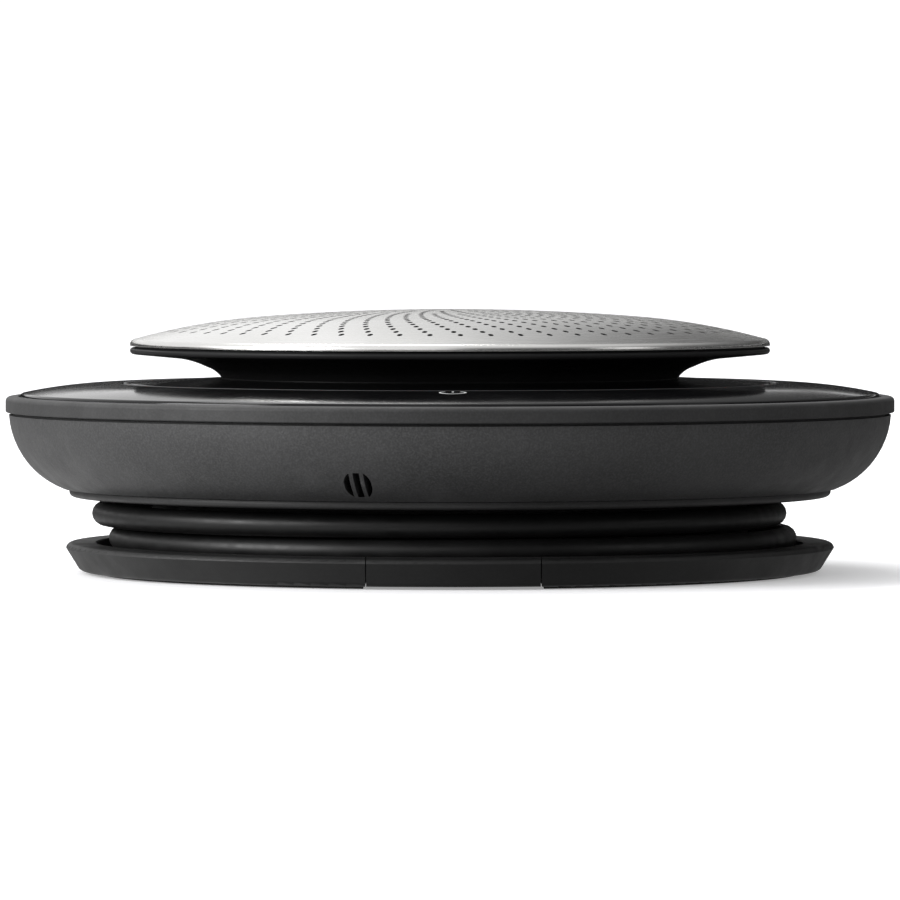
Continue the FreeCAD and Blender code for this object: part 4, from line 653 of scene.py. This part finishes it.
def roll_rim(places, normals, faces, edge, outward):
    """Carries the face's edge over a quarter round and straight down, and returns the lowest ring."""
    ring = edge
    for step in range(1, RIM_STEPS + 2):
        turn = min(step, RIM_STEPS) / RIM_STEPS * math.pi / 2
        radius = SHOULDER_R + RIM_ROUND * math.sin(turn)
        height = SHOULDER_Z - RIM_ROUND + RIM_ROUND * math.cos(turn)
        if step > RIM_STEPS:
            height = RIM_Z
        first = len(places)
        for away in outward:
            places.append(Vector((away.x * radius, away.y * radius, height)))
            normals.append(Vector((away.x * math.sin(turn), away.y * math.sin(turn), math.cos(turn))))
        following = list(range(first, first + len(edge)))
        for side in range(len(edge)):
            other = (side + 1) % len(edge)
            faces.append((ring[side], following[side], following[other], ring[other]))
        ring = following
    return ring


def dome_mesh():
    """The dome as a closed sheet: outer face, inner face, hole walls and the rolled rim."""
    places, normals, faces, edge, outward = dome_face()
    lowest = roll_rim(places, normals, faces, edge, outward)
    outer_count = len(places)
    inner_places = [place - normal * DOME_SHEET for place, normal in zip(places, normals)]
    for index in lowest:
        inner_places[index].z = RIM_Z
    inner_faces = [tuple(index + outer_count for index in reversed(face)) for face in faces]
    sides = [side for face in faces for side in zip(face, face[1:] + face[:1])]
    shared = set(sides)
    walls = []
    for start, end in sides:
        if (end, start) not in shared:
            walls.append((end, start, start + outer_count, end + outer_count))
    made = bpy.data.meshes.new("perforated_dome")
    made.from_pydata([place * MM for place in places + inner_places], [], faces + inner_faces + walls)
    loop_normals = []
    for polygon in made.polygons:
        polygon.use_smooth = True
        for vertex in polygon.vertices:
            if polygon.index >= 2 * len(faces):
                loop_normals.append(polygon.normal.copy())
            elif vertex < outer_count:
                loop_normals.append(normals[vertex])
            else:
                loop_normals.append(-normals[vertex - outer_count])
    made.normals_split_custom_set(loop_normals)
    return made


def add_object(name, data):
    """Adds an object with this data to the scene."""
    made = bpy.data.objects.new(name, data)
    bpy.context.scene.collection.objects.link(made)
    return made


def add_piece(name, data, body, slot_name, *nodes):
    """Adds a piece to the scene, riding on a body, with a finish, in place of CAD nodes."""
    piece = add_object(name, data)
    give(piece, slot_name)
    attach(piece, body)
    if nodes:
        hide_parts(*nodes)
    return piece


dome = add_piece("perforated_dome", dome_mesh(), "housing", "satin_steel", "grille_dome")
# The upright walls of the holes take the near-black finish: painted shade inside the holes
dome.data.materials.append(FINISHES["hole_wall"].material)
for wall in dome.data.polygons:
    if abs(wall.normal.z) < UPRIGHT and wall.center.xy.length < HOLE_LIMIT * MM:
        wall.material_index = 1


# Turned rings

def rounded_profile(corners):
    """A closed outline with rounded corners: segments of (start, normal, end, normal)."""
    places = [Vector(corner[:2]) for corner in corners]
    count = len(places)
    ways = [(places[(i + 1) % count] - places[i]).normalized() for i in range(count)]
    faces_out = [Vector((way.y, -way.x)) for way in ways]
    segments = []
    for i, (_, _, rounding) in enumerate(corners):
        following = (i + 1) % count
        before = faces_out[i - 1]
        after = faces_out[i]
        turn = before.angle_signed(after)
        reach = rounding * math.tan(abs(turn) / 2)
        hollow = 1.0 if ways[i - 1].cross(ways[i]) < 0 else -1.0
        last = places[i] - ways[i - 1] * reach
        last_way = before
        centre = last + before * rounding * hollow
        for step in range(1, CORNER_STEPS + 1):
            way = before.lerp(after, step / CORNER_STEPS).normalized()
            place = centre - way * rounding * hollow
            segments.append((last, last_way, place, way))
            last = place
            last_way = way
        next_turn = after.angle_signed(faces_out[following])
        next_reach = corners[following][2] * math.tan(abs(next_turn) / 2)
        segments.append((last, after, places[following] - ways[i] * next_reach, after))
    return segments


def turned_mesh(name, corners):
    """A ring turned from an outline, with exact normals."""
    segments = rounded_profile(corners)
    spokes = [ring_point(1.0, 2.0 * math.pi * side / RING_SIDES) for side in range(RING_SIDES)]
    places = []
    for away in spokes:
        places += [Vector((away.x * at.x, away.y * at.x, at.y)) * MM for at, _, _, _ in segments]
    faces = []
    loop_normals = []
    count = len(segments)
    for side, here in enumerate(spokes):
        other = (side + 1) % RING_SIDES
        there = spokes[other]
        for row, (_, start_way, _, end_way) in enumerate(segments):
            following = (row + 1) % count
            near, far = side * count, other * count
            faces.append((near + row, far + row, far + following, near + following))
            for away, way in ((here, start_way), (there, start_way), (there, end_way), (here, end_way)):
                loop_normals.append(Vector((away.x * way.x, away.y * way.x, way.y)))
    made = bpy.data.meshes.new(name)
    made.from_pydata(places, [], faces)
    for polygon in made.polygons:
        polygon.use_smooth = True
    made.normals_split_custom_set(loop_normals)
    return made


for piece_name, corners, slot_name, node in (
    ("turned_panel", PANEL_CORNERS, "touch_gloss", "touch_panel"),
    ("turned_trim", TRIM_CORNERS, "touch_gloss", "inner_trim"),
    ("turned_band", BAND_CORNERS, "soft_band", "band"),
):
    turned = add_piece(piece_name, turned_mesh(piece_name, corners), "housing", slot_name, node)


# Wound lead

def polar(turn):
    """Unit vector at an angle in degrees."""
    return Vector((math.cos(math.radians(turn)), math.sin(math.radians(turn)), 0.0))


def ease(share):
    """0 to 1 with level ends."""
    share = min(max(share, 0.0), 1.0)
    return share * share * (3.0 - 2.0 * share)


def turn_point(turn):
    """A control point of the winding: upper turn, lower turn, then the run in the trough."""
    level = UPPER + (LOWER - UPPER) * ease((FIRST_DROP - turn) / DROP_SPAN)
    level += (TAIL - LOWER) * ease((SECOND_DROP - turn) / DROP_SPAN)
    place = polar(turn) * (level.y / CORNER_SHARE)
    return place + Vector((level.x, 0.0, level.z))


outlet_side = polar(OUTLET_TURN)
outlet_way = Vector((outlet_side.y, -outlet_side.x, 0.0))
outlet_foot = outlet_side * OUTLET_OFF + Vector((0.0, 0.0, UPPER.z))
lead_points = [outlet_foot + outlet_way * SLEEVE_LONG, outlet_foot + outlet_way * OUTLET_STRAIGHT]
lead_points += [turn_point(turn) for turn in range(TURN_START, TURN_END - TURN_STEP, -TURN_STEP)]
plug_way = (lead_points[-1] - PLUG_ROOT).normalized()
lead_points.append(PLUG_ROOT + plug_way * SLEEVE_LONG)

lead_curve = bpy.data.curves.new("usb_lead", "CURVE")
lead_curve.dimensions = "3D"
lead_curve.bevel_depth = LEAD_D / 2 * MM
lead_curve.bevel_resolution = LEAD_ROUND_STEPS
lead_curve.resolution_u = LEAD_ALONG_STEPS
lead_curve.use_fill_caps = True
run = lead_curve.splines.new("NURBS")
run.points.add(len(lead_points) - 1)
for control, place in zip(run.points, lead_points):
    control.co = (*(place * MM), 1.0)
run.order_u = 3
run.use_endpoint_u = True
lead_piece = add_piece("usb_lead", lead_curve, "housing", "lead_black", "lead")


# Power mark

def panel_height(x, y):
    """Height of the touch panel's top face at a point, in millimetres."""
    radius = math.hypot(x, y)
    for outer, way, inner, _ in rounded_profile(PANEL_CORNERS):
        if way.y > UPRIGHT and inner.x <= radius <= outer.x:
            return inner.y + (outer.y - inner.y) * (radius - inner.x) / (outer.x - inner.x)
    raise ValueError("the power mark lies outside the touch panel")


def stroke(solid, left, right):
    """A thin raised strip between two rows of planar points."""
    rows = []
    for lift in (-MARK_LIFT, MARK_LIFT):
        rows.append([
            [solid.verts.new(Vector((p.x, p.y, panel_height(p.x, p.y) + lift)) * MM) for p in side]
            for side in (left, right)
        ])
    (low_left, low_right), (top_left, top_right) = rows
    for i in range(len(left) - 1):
        solid.faces.new((top_left[i], top_right[i], top_right[i + 1], top_left[i + 1]))
        solid.faces.new((low_left[i], low_left[i + 1], low_right[i + 1], low_right[i]))
        solid.faces.new((low_left[i], top_left[i], top_left[i + 1], low_left[i + 1]))
        solid.faces.new((low_right[i], low_right[i + 1], top_right[i + 1], top_right[i]))
    solid.faces.new((low_left[0], low_right[0], top_right[0], top_left[0]))
    solid.faces.new((low_left[-1], top_left[-1], top_right[-1], low_right[-1]))


def mark_mesh():
    """A broken ring with a tick through its gap at the far side."""
    solid = bmesh.new()
    centre = Vector((MARK_AT.x, MARK_AT.y))
    start = math.radians(90.0 + MARK_GAP)
    sweep = math.radians(360.0 - 2.0 * MARK_GAP)
    turns = [start + sweep * step / MARK_SIDES for step in range(MARK_SIDES + 1)]
    inner = [centre + ring_point(MARK_R - MARK_STROKE / 2, turn) for turn in turns]
    outer = [centre + ring_point(MARK_R + MARK_STROKE / 2, turn) for turn in turns]
    stroke(solid, inner, outer)
    half = Vector((MARK_STROKE / 2, 0.0))
    tick = [
        centre + Vector((0.0, MARK_TICK * step / TICK_SIDES))
        for step in range(1, TICK_SIDES + 1)
    ]
    stroke(solid, [p - half for p in tick], [p + half for p in tick])
    bmesh.ops.recalc_face_normals(solid, faces=solid.faces)
    made = bpy.data.meshes.new("power_mark")
    solid.to_mesh(made)
    solid.free()
    return made


mark = add_piece("power_mark", mark_mesh(), "housing", "mark_ink")


# Floor, world, lights and camera

def add_floor():
    """A pale floor that glows a little, takes shadows and throws no light up at the object."""
    data = bpy.data.meshes.new("floor")
    half = FLOOR_HALF
    corners = [(-half, -half, 0.0), (half, -half, 0.0), (half, half, 0.0), (-half, half, 0.0)]
    data.from_pydata(corners, [], [(0, 1, 2, 3)])
    floor = add_object("floor", data)
    pale = Finish("floor_finish", 0.9, specular=0.1)
    pale.colour(pale.blend(pale.noise(FLOOR_MOTTLE, 3.0), grey(FLOOR_TONES[0]), grey(FLOOR_TONES[1])))
    pale.shader.inputs["Emission Color"].default_value = (1.0, 1.0, 1.0, 1.0)
    pale.shader.inputs["Emission Strength"].default_value = FLOOR_GLOW
    data.materials.append(pale.material)
    floor.visible_diffuse = False
    floor.visible_glossy = False


def graded(nodes, links, height, steps):
    """The surround's brightness by elevation, from (degrees, brightness) steps."""
    grade = nodes.new("ShaderNodeValToRGB")
    elements = grade.color_ramp.elements
    elements.remove(elements[1])
    for number, (elevation, tone) in enumerate(steps):
        position = (math.sin(math.radians(elevation)) + 1.0) / 2.0
        element = elements[0] if number == 0 else elements.new(position)
        element.position = position
        element.color = (tone, tone, tone, 1.0)
    links.new(height, grade.inputs[0])
    return grade.outputs[0]


def add_flag():
    """A dark belt round the object that only reflections see."""
    data = bpy.data.meshes.new("flag")
    belt = []
    for elevation in (FLAG_LOW, FLAG_HIGH):
        height = FLAG_R * math.tan(math.radians(elevation))
        for side in range(FLAG_SIDES):
            away = ring_point(FLAG_R, 2.0 * math.pi * side / FLAG_SIDES)
            belt.append((away.x, away.y, height))
    faces = []
    for side in range(FLAG_SIDES):
        other = (side + 1) % FLAG_SIDES
        faces.append((side, other, other + FLAG_SIDES, side + FLAG_SIDES))
    data.from_pydata(belt, [], faces)
    flag = add_object("flag", data)
    felt = Finish("flag_finish", 1.0, specular=0.0)
    felt.colour(felt.blend(felt.noise(FLAG_MOTTLE, 2.0), grey(FLAG_TONES[0]), grey(FLAG_TONES[1])))
    data.materials.append(felt.material)
    flag.visible_camera = False
    flag.visible_diffuse = False
    flag.visible_transmission = False
    flag.visible_shadow = False


def add_world():
    """Studio surround, graded by elevation, with one grade at the left and a darker one at the right."""
    world = bpy.data.worlds.new("studio")
    world.use_nodes = True
    nodes = world.node_tree.nodes
    links = world.node_tree.links
    way = nodes.new("ShaderNodeTexCoord")
    split = nodes.new("ShaderNodeSeparateXYZ")
    links.new(way.outputs["Generated"], split.inputs[0])
    height = nodes.new("ShaderNodeMapRange")
    height.inputs["From Min"].default_value = -1.0
    height.inputs["From Max"].default_value = 1.0
    links.new(split.outputs["Z"], height.inputs["Value"])
    across = nodes.new("ShaderNodeMapRange")
    across.interpolation_type = "SMOOTHSTEP"
    across.inputs["From Min"].default_value = SIDE_FADE[0]
    across.inputs["From Max"].default_value = SIDE_FADE[1]
    links.new(split.outputs["X"], across.inputs["Value"])
    mixed = nodes.new("ShaderNodeMix")
    mixed.data_type = "RGBA"
    links.new(across.outputs[0], mixed.inputs["Factor"])
    links.new(graded(nodes, links, height.outputs[0], LEFT_SURROUND), mixed.inputs[MIX_FIRST])
    links.new(graded(nodes, links, height.outputs[0], RIGHT_SURROUND), mixed.inputs[MIX_SECOND])
    links.new(mixed.outputs[MIX_RESULT], nodes["Background"].inputs["Color"])
    nodes["Background"].inputs["Strength"].default_value = SURROUND_STRENGTH
    bpy.context.scene.world = world


def add_softbox(name, place, wide, tall, power):
    """A rectangular area light that faces the object."""
    data = bpy.data.lights.new(name, "AREA")
    data.shape = "RECTANGLE"
    data.size = wide
    data.size_y = tall
    data.energy = power
    light = add_object(name, data)
    light.location = place
    light.rotation_euler = (SOFTBOX_AIM - Vector(place)).to_track_quat("-Z", "Y").to_euler()
    light.visible_camera = False


def add_camera():
    """A long lens, low in front of the object."""
    data = bpy.data.cameras.new("camera")
    data.sensor_width = SENSOR
    data.lens = LENS
    data.clip_end = CLIP_END
    camera = add_object("camera", data)
    camera.location = CAMERA_AT
    camera.rotation_euler = (CAMERA_AIM - CAMERA_AT).to_track_quat("-Z", "Y").to_euler()
    bpy.context.scene.camera = camera


add_floor()
add_flag()
add_world()
for softbox in SOFTBOXES:
    add_softbox(*softbox)
add_camera()
bpy.context.scene.view_settings.view_transform = "Standard"
